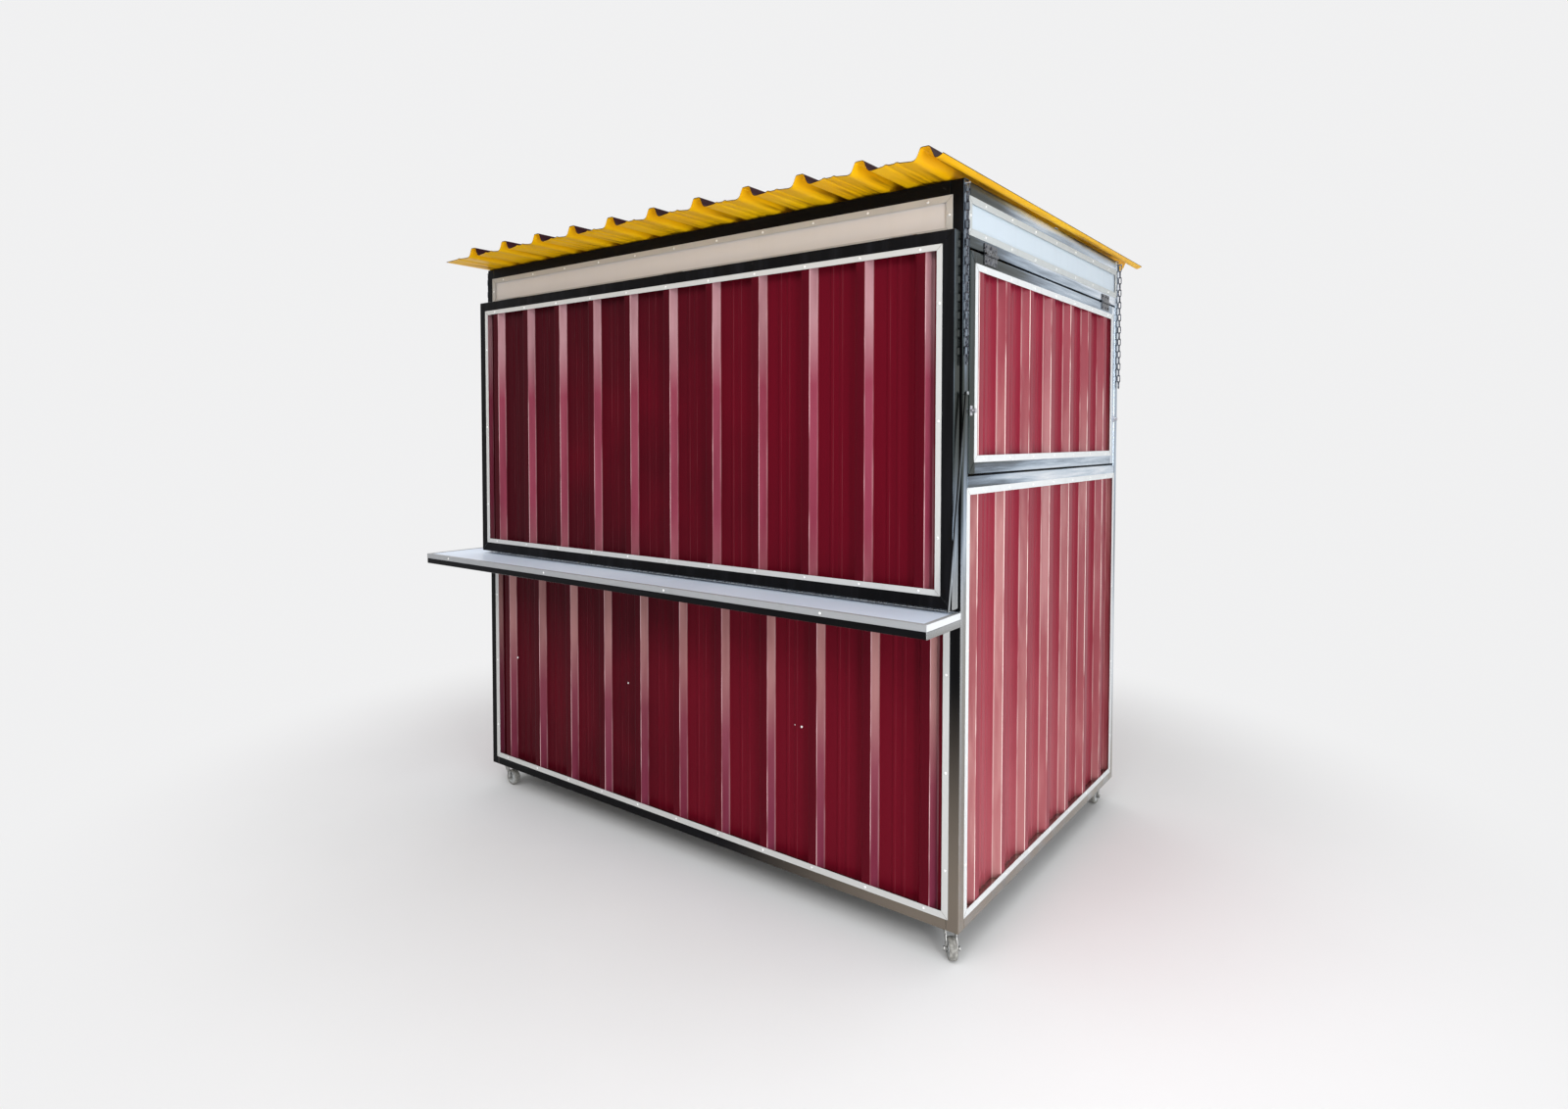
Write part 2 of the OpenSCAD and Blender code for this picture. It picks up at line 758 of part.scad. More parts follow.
// Chains hang free from their hooks; drawn as slim bars of the chain's width
module hanging_chains() {
    color(zinc) placed()
        for (s = [-1, 1], y = [chain_in, frame_d - chain_in])
            translate([s * (half_w + chain_off), y, hook_z - hook_r - chain_len])
                translate([-chain_w / 2, -chain_w / 2, 0]) cube([chain_w, chain_w, chain_len]);
}

// Prop bar in the YZ plane, hanging from its pivot, straight or leaning to the front
module prop_bar(lean) {
    rotate([-lean, 0, 0]) rotate([0, 90, 0]) linear_extrude(prop_t) difference() {
        union() {
            circle(d = prop_w);
            translate([0, -prop_w / 2]) square([prop_len, prop_w]);
            translate([prop_len, 0]) circle(d = prop_w);
        }
        circle(r = prop_pin_r + pin_gap);
        for (k = [1:4]) translate([k * prop_len / 4, 0]) circle(r = prop_hole_r);
    }
}

module right_prop() {
    color(steel) placed() translate([half_w + prop_off, prop_y, prop_z]) prop_bar(prop_lean);
}

module left_prop() {
    color(steel) placed() translate([-half_w - prop_off - prop_t, prop_y, prop_z]) prop_bar(0);
}

// Corner where a caster's swivel stands: sx, sy are the signs of X and of back or front
function swivel_at(sx, sy) = [sx * (half_w - swivel_in), sy < 0 ? swivel_in : frame_d - swivel_in, 0];

module caster_plates() {
    color(zinc) placed() for (sx = [-1, 1], sy = [-1, 1]) translate(swivel_at(sx, sy)) {
        block([-plate / 2, -plate / 2, -plate_t], [plate / 2, plate / 2, 0]);
        translate([0, 0, -plate_t - race_h]) cylinder(r = race_r, h = race_h);
        translate([0, 0, crown_z - nut_h]) cylinder(r = king_r, h = -crown_z);
        translate([0, 0, crown_z - nut_h]) cylinder(r = king_r + nut_rim, h = nut_h - pin_gap);
    }
}

// Fork with its crown, two legs and the axle; the wheel trails along +X before turning
module fork() {
    difference() {
        translate([0, 0, crown_z]) cylinder(r = crown_r, h = crown_t);
        translate([0, 0, crown_z - past]) cylinder(r = king_r + pin_gap, h = crown_t + 2 * past);
    }
    for (s = [-1, 1])
        translate([0, s * (fork_in + fork_t / 2) + fork_t / 2, 0]) rotate([90, 0, 0]) linear_extrude(fork_t) union() {
            polygon([[-leg_w / 2, crown_z + past], [leg_w / 2, crown_z + past],
                [trail + axle_r + axle_boss, axle_z], [trail - axle_r - axle_boss, axle_z]]);
            translate([trail, axle_z]) circle(r = axle_r + axle_boss);
        }
    translate([trail, 0, axle_z]) rotate([90, 0, 0])
        cylinder(r = axle_r, h = 2 * (fork_in + fork_t + axle_end), center = true);
}

module wheel() {
    translate([trail, 0, axle_z]) rotate([90, 0, 0]) difference() {
        cylinder(r = wheel_r, h = wheel_w, center = true, $fn = 96);
        cylinder(r = axle_r + pin_gap, h = wheel_w + 2 * past, center = true);
        for (s = [-1, 1]) translate([0, 0, s * wheel_w / 2]) difference() {
            cylinder(r = wheel_r - tyre_t, h = 2 * wheel_recess, center = true);
            cylinder(r = axle_r + hub_rim, h = 2 * (wheel_recess + past), center = true);
        }
    }
}

module fork_front_left() {
    color(zinc) placed() translate(swivel_at(-1, -1)) rotate([0, 0, turn_front_left]) fork();
}

module fork_front_right() {
    color(zinc) placed() translate(swivel_at(1, -1)) rotate([0, 0, turn_front_right]) fork();
}

module fork_rear_left() {
    color(zinc) placed() translate(swivel_at(-1, 1)) rotate([0, 0, turn_rear_left]) fork();
}

module fork_rear_right() {
    color(zinc) placed() translate(swivel_at(1, 1)) rotate([0, 0, turn_rear_right]) fork();
}

module wheel_front_left() {
    color(rubber) placed() translate(swivel_at(-1, -1)) rotate([0, 0, turn_front_left]) wheel();
}

module wheel_front_right() {
    color(rubber) placed() translate(swivel_at(1, -1)) rotate([0, 0, turn_front_right]) wheel();
}

module wheel_rear_left() {
    color(rubber) placed() translate(swivel_at(-1, 1)) rotate([0, 0, turn_rear_left]) wheel();
}

module wheel_rear_right() {
    color(rubber) placed() translate(swivel_at(1, 1)) rotate([0, 0, turn_rear_right]) wheel();
}

base_rails();
upper_rails();
front_posts();
rear_posts();
rear_jambs();
roof_battens();
roof_sheet();
front_wall();
right_wall();
left_wall();
rear_walls();
wall_trims();
fascia_boards();
fascia_trims();
counter_frame();
counter_top();
counter_edge();
hinge_leaves();
post_fittings();
hanging_chains();
front_flap_frame();
front_flap_panel();
front_flap_trim();
front_flap_leaves();
right_flap_frame();
right_flap_panel();
right_flap_trim();
right_flap_fittings();
left_flap_frame();
left_flap_panel();
left_flap_trim();
left_flap_fittings();
rear_door_frame();
rear_door_panel();
rear_door_fittings();
right_prop();
left_prop();
caster_plates();
fork_front_left();
fork_front_right();
fork_rear_left();
fork_rear_right();
wheel_front_left();
wheel_front_right();
wheel_rear_left();
wheel_rear_right();
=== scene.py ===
"""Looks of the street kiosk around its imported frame: finishes, rolled sheets, fasteners, wheels and chains.

Lengths are in metres. X runs along the front with +X to the right, Y from the front (-) to the back (+), Z up.
"""

import json
import math

import bmesh
import bpy
import numpy as np
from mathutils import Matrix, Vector


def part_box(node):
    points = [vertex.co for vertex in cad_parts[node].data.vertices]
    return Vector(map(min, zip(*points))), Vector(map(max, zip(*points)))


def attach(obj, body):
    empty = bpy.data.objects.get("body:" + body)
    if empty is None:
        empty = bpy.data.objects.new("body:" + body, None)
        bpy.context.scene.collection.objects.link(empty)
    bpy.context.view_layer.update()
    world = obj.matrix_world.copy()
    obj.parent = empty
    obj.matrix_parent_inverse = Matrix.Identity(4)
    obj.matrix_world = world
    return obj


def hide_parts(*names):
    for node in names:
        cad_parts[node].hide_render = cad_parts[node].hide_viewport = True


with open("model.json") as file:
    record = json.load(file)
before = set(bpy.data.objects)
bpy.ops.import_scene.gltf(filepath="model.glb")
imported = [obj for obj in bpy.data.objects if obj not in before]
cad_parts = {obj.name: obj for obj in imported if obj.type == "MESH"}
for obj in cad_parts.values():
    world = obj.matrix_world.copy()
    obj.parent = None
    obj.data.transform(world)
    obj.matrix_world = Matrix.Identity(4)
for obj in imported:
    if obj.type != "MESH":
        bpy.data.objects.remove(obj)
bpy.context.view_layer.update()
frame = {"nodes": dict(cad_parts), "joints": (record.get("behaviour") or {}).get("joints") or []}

# Camera, from a fit to the corners of the tube frame in the photograph
IMAGE_W = 1600
IMAGE_H = 1132
FOCAL_PX = 894.27
CENTRE_PX = (777.3, 478.7)
CAMERA_AT = Vector((2.2184, -3.0210, 1.5124))
CAMERA_YAW = math.radians(37.74)
CAMERA_PITCH = math.radians(1.982)
SENSOR = 36.0

# Stage and light; the floor takes on the backdrop's colour between the two distances of FLOOR_FADE
FLOOR_RADIUS = 60.0
FLOOR_SIDES = 64
FLOOR_FADE = (1.7, 3.0)
FLOOR_TONES = ((0.815, 0.815, 0.82, 1), (0.835, 0.835, 0.84, 1))
PALE = (0.875, 0.875, 0.88, 1)
AMBIENT = 0.42
WHITE = (1.0, 1.0, 1.0)
# Name, place, point that it faces, width, height, brightness and colour of each lamp
LAMPS = (
    ("key_right", (4.5, -2.0, 1.4), (0.5, -0.3, 1.1), 3.0, 2.5, 3.2, (0.93, 0.97, 1.0)),
    ("strip_right", (3.9, -2.8, 1.3), (1.0, 0.2, 1.2), 0.25, 2.6, 16.0, (1.0, 0.99, 0.97)),
    ("front_top", (0.6, -4.6, 4.4), (0.1, -0.8, 1.2), 3.6, 2.0, 3.6, WHITE),
    ("overhead", (0.0, 0.0, 7.0), (0.0, 0.001, 0.0), 10.0, 10.0, 1.1, WHITE),
)

# Tubes: the rounding of their edges, and the angles that count as flat, as a tube's edge and as sharp elsewhere
TUBE_ROUND = 0.003
TUBE_ROUND_STEPS = 3
FLAT_DEG = 1
EDGE_DEG = 40
SHARP_DEG = 35
# Rolled sheets: their bends, the bow of the roof's pans and the folded ends of the wall sheets
WALL_BEND = 0.007
ROOF_BEND = 0.013
BEND_STEPS = 5
BEND_SHARE = 0.45
PAN_BOW = 0.006
PAN_BOW_LEAST = 0.35
PAN_BOW_TURN = 2.3
PAN_SHARE = 0.2
FLANGE = 0.003
# Rivets and screws; a profile is in shares of the radius and height
RIVET_R = 0.0042
RIVET_H = 0.0022
RIVET_PROFILE = ((1.0, -0.25), (1.0, 0.3), (0.8, 0.75), (0.4, 1.0))
RIB_STEP = 0.198
STILE_STEP = 0.30
SCREW_R = 0.0045
SCREW_EASE = 0.8
WASHER_SHARES = (1.6, 1.3)
WASHER_SINK = 0.0006
WASHER_RIM = 0.0010
WASHER_H = 0.0016
# Screws through the lower front sheet, along the front and above the ground
SHEET_SCREWS = ((-0.897, 0.572), (-0.217, 0.579), (0.569, 0.576), (0.593, 0.574))
# Seams at the corners of strips, and weld beads at the corners of tubes
MITRE_W = 0.0007
MITRE_H = 0.0002
BEAD_R = 0.0011
BEAD_DIP = 0.7
BEAD_START = 0.1
RIPPLE = 0.004
# Hinge leaves: thickness, the shortest that has screws, and the places of the screws
LEAF_T = 0.0025
LEAF_MIN = 0.05
LEAF_SCREW_EDGE = 0.009
LEAF_SCREW_SHARES = (0.14, 0.5, 0.86)
# Counter: rivets of its edge, the first from the right end, the folded lip and the bead at the wall
EDGE_FIRST = 0.338
EDGE_STEP = 0.62
LIP_W = 0.014
LIP_T = 0.0008
BACK_BEAD_R = 0.005
# Casters: wheels, with the tyre's profile in shares of its shoulder, axle nuts, and bolts of the plates
HUB_BOSS = 0.0045
HUB_DISH = 0.004
HUB_EASE = 0.001
TYRE_DEPTH = 0.009
TYRE_SHOULDER = 0.005
TYRE_PROFILE = ((0.6, 0.0), (0.16, 0.4), (0.0, 1.0))
TREAD_GROOVE = 0.0012
NUT_R = 0.007
NUT_H = 0.0024
NUT_PROFILE = ((1.0, -1.0), (1.0, 1 / 3), (0.8, 0.8), (0.3, 1.0))
PLATE_T = 0.003
BOLT_INSET = 0.011
# Chain links
LINK_PITCH = 0.025
LINK_WIRE = 0.0019
LINK_WIDTH = 0.0135
LINK_STEPS = 6
# Sides of round things
RIVET_SIDES = 12
WASHER_SIDES = 16
HEX_SIDES = 6
WIRE_SIDES = 8
HUB_SIDES = 48
TYRE_SIDES = 64

# Points closer than this are in one place
SAME = 1e-5
X, Y, Z = 0, 1, 2
TO_FRONT = (0, -1, 0)
TO_BACK = (0, 1, 0)
TO_RIGHT = (1, 0, 0)
TO_LEFT = (-1, 0, 0)
UP = (0, 0, 1)
DOWN = (0, 0, -1)
# Axes of a sheet: across its ribs, outwards, the sign of outwards, and along its ribs
FRONT_AXES = (X, Y, -1, Z)
REAR_AXES = (X, Y, 1, Z)
RIGHT_AXES = (Y, X, 1, Z)
LEFT_AXES = (Y, X, -1, Z)
ROOF_AXES = (X, Z, 1, Y)
CORNERS = ("front_left", "front_right", "rear_left", "rear_right")


# Mesh helpers

def new_object(name, data):
    """An object in the scene."""
    made = bpy.data.objects.new(name, data)
    bpy.context.scene.collection.objects.link(made)
    return made


def new_piece(name, verts, faces, body, materials, face_material=None, rise=None):
    """A mesh piece that rides on a body, smooth but for its sharp edges; rise is a number for each vertex."""
    mesh = bpy.data.meshes.new(name)
    mesh.from_pydata(verts, [], faces)
    for material in materials:
        mesh.materials.append(material)
    if face_material is not None:
        mesh.polygons.foreach_set("material_index", face_material)
    if rise is not None:
        mesh.attributes.new("rise", "FLOAT", "POINT").data.foreach_set("value", rise)
    mesh.shade_smooth()
    mesh.set_sharp_from_angle(angle=math.radians(SHARP_DEG))
    mesh.update()
    turn_outward(mesh)
    piece = new_object(name, mesh)
    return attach(piece, body)


def turn_outward(mesh):
    """Turns every face of closed shells outward."""
    shell = bmesh.new()
    shell.from_mesh(mesh)
    bmesh.ops.recalc_face_normals(shell, faces=shell.faces)
    shell.to_mesh(mesh)
    shell.free()


def small_parts(name, shapes, body, material):
    """Many small shapes of one finish as one piece."""
    verts, faces = join(shapes)
    piece = new_piece(name, verts, faces, body, [material])
    return piece


def join(shapes):
    """One list of vertices and one of faces from many (vertices, faces) pairs."""
    verts = []
    faces = []
    for shape_verts, shape_faces in shapes:
        start = len(verts)
        verts.extend(shape_verts)
        faces.extend(tuple(start + i for i in face) for face in shape_faces)
    return verts, faces


def ring_faces(rows, sides, closed):
    """Quads between rows of ring points, and from the last row to the first where closed."""
    faces = []
    for row in range(rows if closed else rows - 1):
        above = (row + 1) % rows
        for k in range(sides):
            n = (k + 1) % sides
            faces.append((row * sides + k, row * sides + n, above * sides + n, above * sides + k))
    return faces


def lathe(profile, sides, at, direction, bore=False):
    """Solid turned about a direction: profile is (radius, height) rows, closed on itself for a bore."""
    turned = Vector(direction).to_track_quat("Z", "Y").to_matrix()
    verts = []
    for radius, height in profile:
        for k in range(sides):
            angle = 2 * math.pi * k / sides
            point = Vector((radius * math.cos(angle), radius * math.sin(angle), height))
            verts.append(Vector(at) + turned @ point)
    rows = len(profile)
    faces = ring_faces(rows, sides, bore)
    if not bore:
        faces.append(tuple(reversed(range(sides))))
        faces.append(tuple(range((rows - 1) * sides, rows * sides)))
    return verts, faces


def swept_ring(path, radius, sides):
    """Round wire along a closed path of points."""
    count = len(path)
    middle = sum(path, Vector()) / count
    verts = []
    for i, point in enumerate(path):
        ahead = (path[(i + 1) % count] - path[i - 1]).normalized()
        outward = point - middle
        outward = (outward - outward.dot(ahead) * ahead).normalized()
        across = ahead.cross(outward)
        for k in range(sides):
            angle = 2 * math.pi * k / sides
            verts.append(point + radius * (math.cos(angle) * outward + math.sin(angle) * across))
    return verts, ring_faces(count, sides, True)


def prism(outline, depth):
    """Solid between a flat outline of points and its copy moved by depth."""
    count = len(outline)
    verts = list(outline) + [point + depth for point in outline]
    faces = [tuple(range(count)), tuple(reversed(range(count, 2 * count)))]
    for i in range(count):
        j = (i + 1) % count
        faces.append((i, j, count + j, count + i))
    return verts, faces


def solids(node):
    """Corners of each separate solid of a CAD node."""
    mesh = frame["nodes"][node].data
    points = np.array([v.co for v in mesh.vertices]).round(6)
    corners, index = np.unique(points, axis=0, return_inverse=True)
    group = np.arange(len(corners))
    faces = [index[list(face.vertices)].ravel() for face in mesh.polygons]
    changed = True
    while changed:
        changed = False
        for face in faces:
            low = group[face].min()
            if (group[face] != low).any():
                group[face] = low
                changed = True
    return [corners[group == g] for g in np.unique(group)]


# Material helpers

NOISE_ROUGH = 0.55


def link(tree, value, socket):
    """Links a socket's value, or sets a plain one."""
    if isinstance(value, bpy.types.NodeSocket):
        tree.links.new(value, socket)
    else:
        socket.default_value = value


def set_inputs(tree, node, **inputs):
    """Links or sets a node's inputs by name, with an underscore for each space."""
    for key, value in inputs.items():
        link(tree, value, node.inputs[key.replace("_", " ")])


def add(tree, kind, settings=None, **inputs):
    """A shader node with its settings and inputs."""
    node = tree.nodes.new(kind)
    for key, value in (settings or {}).items():
        setattr(node, key, value)
    set_inputs(tree, node, **inputs)
    return node


def mix(tree, factor, a, b):
    """Colour between a and b."""
    node = add(tree, "ShaderNodeMix", {"data_type": "RGBA"})
    for index, value in ((0, factor), (6, a), (7, b)):
        link(tree, value, node.inputs[index])
    return node.outputs[2]


def mix_shaders(tree, factor, first, second):
    """Sends the mix of two shaders to the material's output."""
    both = add(tree, "ShaderNodeMixShader")
    for index, value in ((0, factor), (1, first.outputs[0]), (2, second.outputs[0])):
        tree.links.new(value, both.inputs[index])
    out = next(node for node in tree.nodes if node.bl_idname.startswith("ShaderNodeOutput"))
    tree.links.new(both.outputs[0], out.inputs["Surface"])


def ramp(tree, value, low, high, to_low=0.0, to_high=1.0):
    """Smooth step of a value from one range to another."""
    node = add(tree, "ShaderNodeMapRange", {"interpolation_type": "SMOOTHSTEP"}, Value=value, From_Min=low,
               From_Max=high, To_Min=to_low, To_Max=to_high)
    return node.outputs[0]


def tones(tree, value, stops):
    """Colour along a row of (place, colour) stops."""
    node = add(tree, "ShaderNodeValToRGB", Fac=value)
    row = node.color_ramp.elements
    while len(row) < len(stops):
        row.new(1.0)
    for element, (place, colour) in zip(row, stops):
        element.position = place
        element.color = colour
    return node.outputs[0]


def combine(tree, operation, a, b):
    """Two numbers combined by a math operation."""
    node = add(tree, "ShaderNodeMath", {"operation": operation})
    link(tree, a, node.inputs[0])
    link(tree, b, node.inputs[1])
    return node.outputs[0]


def product(tree, a, b):
    return combine(tree, "MULTIPLY", a, b)


def larger(tree, a, b):
    return combine(tree, "MAXIMUM", a, b)


def absolute(tree, value):
    return combine(tree, "ABSOLUTE", value, 0)


def facing(tree, direction):
    """How far a surface at rest faces a direction, from -1 to 1."""
    node = add(tree, "ShaderNodeVectorMath", {"operation": "DOT_PRODUCT"})
    tree.links.new(add(tree, "ShaderNodeTexCoord").outputs["Normal"], node.inputs[0])
    node.inputs[1].default_value = direction
    return node.outputs["Value"]


def split(tree, place):
    """The three coordinates of a place."""
    return add(tree, "ShaderNodeSeparateXYZ", Vector=place).outputs


def noise(tree, place, scale, detail=3.0, stretch=(1, 1, 1)):
    """Cloudy noise from 0 to 1; a small stretch number draws it out along that axis."""
    mapped = add(tree, "ShaderNodeMapping", Vector=place, Scale=stretch).outputs[0]
    clouds = add(tree, "ShaderNodeTexNoise", Vector=mapped, Scale=scale, Detail=detail, Roughness=NOISE_ROUGH)
    return clouds.outputs[0]


def bump(tree, height, strength, distance, under=None):
    """Normal from a height, over another normal where one is given."""
    node = add(tree, "ShaderNodeBump", Height=height, Strength=strength, Distance=distance)
    if under is not None:
        tree.links.new(under, node.inputs["Normal"])
    return node.outputs[0]


def new_material(name):
    """A material, its tree, its Principled shader, and where a point is at rest, whatever the pose."""
    material = bpy.data.materials.new(name)
    material.use_nodes = True
    tree = material.node_tree
    place = add(tree, "ShaderNodeTexCoord").outputs["Object"]
    return material, tree, tree.nodes["Principled BSDF"], place


# Finishes

# Noise drawn out along posts, rails, the ribs of walls and roof, down white strips and along the counter
POST_GRAIN = (1, 1, 0.05)
RAIL_GRAIN = (0.05, 0.05, 1)
WALL_STREAK = (1, 1, 0.03)
# The next two break up the walls' painted flank light and painted bend highlights
WALL_PATCH = (1, 1, 0.13)
WALL_HIGHLIGHT_RUN = (1, 1, 0.25)
ROOF_STREAK = (1, 0.04, 1)
TRIM_RUN = (1, 1, 0.08)
COUNTER_SMEAR = (0.4, 1, 1)
COUNTER_SCRATCH = (0.05, 1, 1)
# Where a tone sets in along an axis, from none to full
# Painted sunlight on the lower walls
LOW_LIGHT_Z = (1.25, 0.35)
# Painted shade and stains on the roof sheet beside the walls
ROOF_SHADE_STAIN_Y = (0.90, 0.76)
# The tubes' painted reflections: silver towards the back and low down, and brighter high up at the front
SILVER_Y = (-0.76, -0.05)
SILVER_Z = (1.62, 1.15)
HIGH_SHINE_Z = (1.60, 1.80)
# A painted warm reflection low at the front of the tubes
WARM_Z = (1.30, 0.95)
WARM_Y = (-0.3, -0.68)
MUD_Z = (0.60, 0.12)
BLACK_Y = (-0.68, -0.70)
# Painted sunlight and dust on the black paint at the lower right corner
SUNLIT_BLACK_X = (0.25, 1.05)
SUNLIT_BLACK_Z = (0.85, 0.15)
EYES_Z = (1.75, 1.70)
# Where the painted light on the rib flanks weakens towards the back, and the height above all of its stops
LESS_FLANK_LIGHT_Y = (-0.62, -0.25)
SHEET_TOP = 2.2
# Ranges of noise over which a flank gets painted light and a bend a painted highlight, and the least and most
# of each
FLANK_LIGHT = (0.35, 0.62, 0.25, 0.9)
BEND_HIGHLIGHT = (0.34, 0.55, 0.10, 1.0)
# The side flaps' tube width, and the blend between the grain of stiles and rails
FLAP_TUBE = 0.04
GRAIN_BLEND = 0.001

# Tones of the steel's painted reflections, from dark to silver
STEEL_TONES = (
    (0.28, (0.016, 0.024, 0.020, 1)), (0.40, (0.05, 0.066, 0.070, 1)), (0.50, (0.15, 0.19, 0.24, 1)),
    (0.60, (0.34, 0.42, 0.51, 1)), (0.70, (0.58, 0.67, 0.77, 1)), (0.82, (0.86, 0.90, 0.95, 1)),
)
STEEL_CONTRAST = 1.7
STEEL_OFFSET = 0.51
STEEL_LIFT = 0.33
# Painted warm reflection on the steel
WARM_REFLECTION = (0.40, 0.375, 0.335, 1)
MUD = (0.36, 0.32, 0.265, 1)
BLACK = (0.0025, 0.0025, 0.003, 1)
BLACK_STREAK = (0.008, 0.008, 0.010, 1)
BLACK_WORN = (0.09, 0.09, 0.09, 1)
# Painted sunlight and dust on the black paint
BLACK_SUNLIT_DUSTY = (0.165, 0.138, 0.112, 1)
WASH_COAT = ((0.40, 0.41, 0.40, 1), (0.55, 0.56, 0.54, 1))
LAMINATE = ((0.73, 0.82, 0.97, 1), (0.78, 0.87, 1.0, 1))
SCRATCH = (0.62, 0.69, 0.82, 1)
SPANGLE_SCALE = 160.0
RUST = (0.16, 0.08, 0.04, 1)


def orange_peel(tree, place, under):
    """Fine skin of a colour coat, over wider waves."""
    return bump(tree, noise(tree, place, 420, 2), 0.05, 0.0006, under)


def painted_sheet(name, colour, dark, low_light_tone, flank_light_tones, glint, flank, out, specular, coat, flank_light=FLANK_LIGHT,
                  bend_highlight=BEND_HIGHLIGHT, left_darker=0.0):
    """Colour-coated wall sheet, with painted light on one flank of each rib, a painted highlight along that
    flank's outer bend, a painted dark reflection on the crests and painted sunlight low down.

    The rise attribute of a sheet is 0 on its pans and 1 on the crests of its ribs. The tones of the flank light
    are stops of (height, colour).
    """
    material, tree, shader, place = new_material(name)
    x, y, z = split(tree, place)
    rise = add(tree, "ShaderNodeAttribute", {"attribute_name": "rise"}).outputs["Fac"]
    clouds = noise(tree, place, 1.3)
    streaks = noise(tree, place, 34, 4, WALL_STREAK)
    patches = noise(tree, place, 15, 3, WALL_PATCH)
    highlight_noise = noise(tree, place, 15, 3, WALL_HIGHLIGHT_RUN)
    calm_clouds = combine(tree, "ADD", product(tree, clouds, 0.5), 0.25)
    tone = combine(tree, "ADD", calm_clouds, product(tree, x, left_darker))
    base = mix(tree, ramp(tree, tone, 0.36, 0.64), dark, colour)
    base = mix(tree, ramp(tree, streaks, 0.46, 0.72, 0, 0.16), base, dark)
    # Painted sunlight on the lower wall, in patches
    low = product(tree, ramp(tree, z, *LOW_LIGHT_Z), ramp(tree, clouds, 0.3, 0.6, 0.35, 0.8))
    base = mix(tree, product(tree, low, ramp(tree, tone, 0.35, 0.65, 0.4, 1.0)), base, low_light_tone)
    # Painted dark reflection on the crests of the ribs
    crest = product(tree, ramp(tree, rise, 0.8, 0.95), ramp(tree, facing(tree, out), 0.85, 0.97, 0, 0.55))
    base = mix(tree, crest, base, dark)
    # Painted light on the rib flanks that face the flank direction, weaker towards the back
    turned = product(tree, ramp(tree, facing(tree, flank), 0.42, 0.72), ramp(tree, patches, *flank_light))
    turned = product(tree, turned, ramp(tree, y, *LESS_FLANK_LIGHT_Y, 1.0, 0.45))
    stops = [(height / SHEET_TOP, shade) for height, shade in flank_light_tones]
    base = mix(tree, turned, base, tones(tree, product(tree, z, 1 / SHEET_TOP), stops))
    # Painted highlight along the outer bend of those flanks, broken up, and fainter on the swages of the pans
    bend = ramp(tree, facing(tree, 0.6 * Vector(flank) + 0.8 * Vector(out)), 0.965, 0.993)
    highlighted = product(tree, bend, ramp(tree, highlight_noise, *bend_highlight))
    base = mix(tree, product(tree, highlighted, ramp(tree, rise, 0.15, 0.8, 0.28, 1.0)), base, glint)
    waves = bump(tree, noise(tree, place, 6, 2), 0.3, 0.006)
    set_inputs(tree, shader, Base_Color=base, Roughness=ramp(tree, streaks, 0.3, 0.8, 0.28, 0.46),
               Normal=orange_peel(tree, place, waves), Specular_IOR_Level=specular, Coat_Weight=coat,
               Coat_Roughness=0.08)
    return material


def roof_coat(name, colour, dark, shade_and_stain, specular):
    """Colour coat of one side of the roof sheet, drawn out along the ribs, and darker beside the walls with
    painted shade and stains.
    """
    material, tree, shader, place = new_material(name)
    clouds = noise(tree, place, 2.2, 4)
    streaks = noise(tree, place, 40, 4, ROOF_STREAK)
    base = mix(tree, ramp(tree, clouds, 0.36, 0.64), dark, colour)
    base = mix(tree, ramp(tree, streaks, 0.55, 0.75, 0, 0.45), base, dark)
    # Painted shade and stains beside the walls
    near_wall = ramp(tree, absolute(tree, split(tree, place)[Y]), *ROOF_SHADE_STAIN_Y)
    base = mix(tree, product(tree, near_wall, ramp(tree, streaks, 0.5, 0.68, 0, 0.75)), base, shade_and_stain)
    waves = bump(tree, clouds, 0.25, 0.008)
    set_inputs(tree, shader, Base_Color=base, Roughness=ramp(tree, streaks, 0.3, 0.8, 0.34, 0.52),
               Normal=orange_peel(tree, place, waves), Specular_IOR_Level=specular)
    return material


def sheet_backing(name):
    """Grey wash coat on the inner face of the wall sheets."""
    material, tree, shader, place = new_material(name)
    smudges = noise(tree, place, 7, 5)
    base = mix(tree, ramp(tree, smudges, 0.35, 0.7), *WASH_COAT)
    set_inputs(tree, shader, Base_Color=base, Roughness=ramp(tree, smudges, 0.3, 0.7, 0.45, 0.65),
               Normal=bump(tree, noise(tree, place, 300, 2), 0.05, 0.0005))
    return material


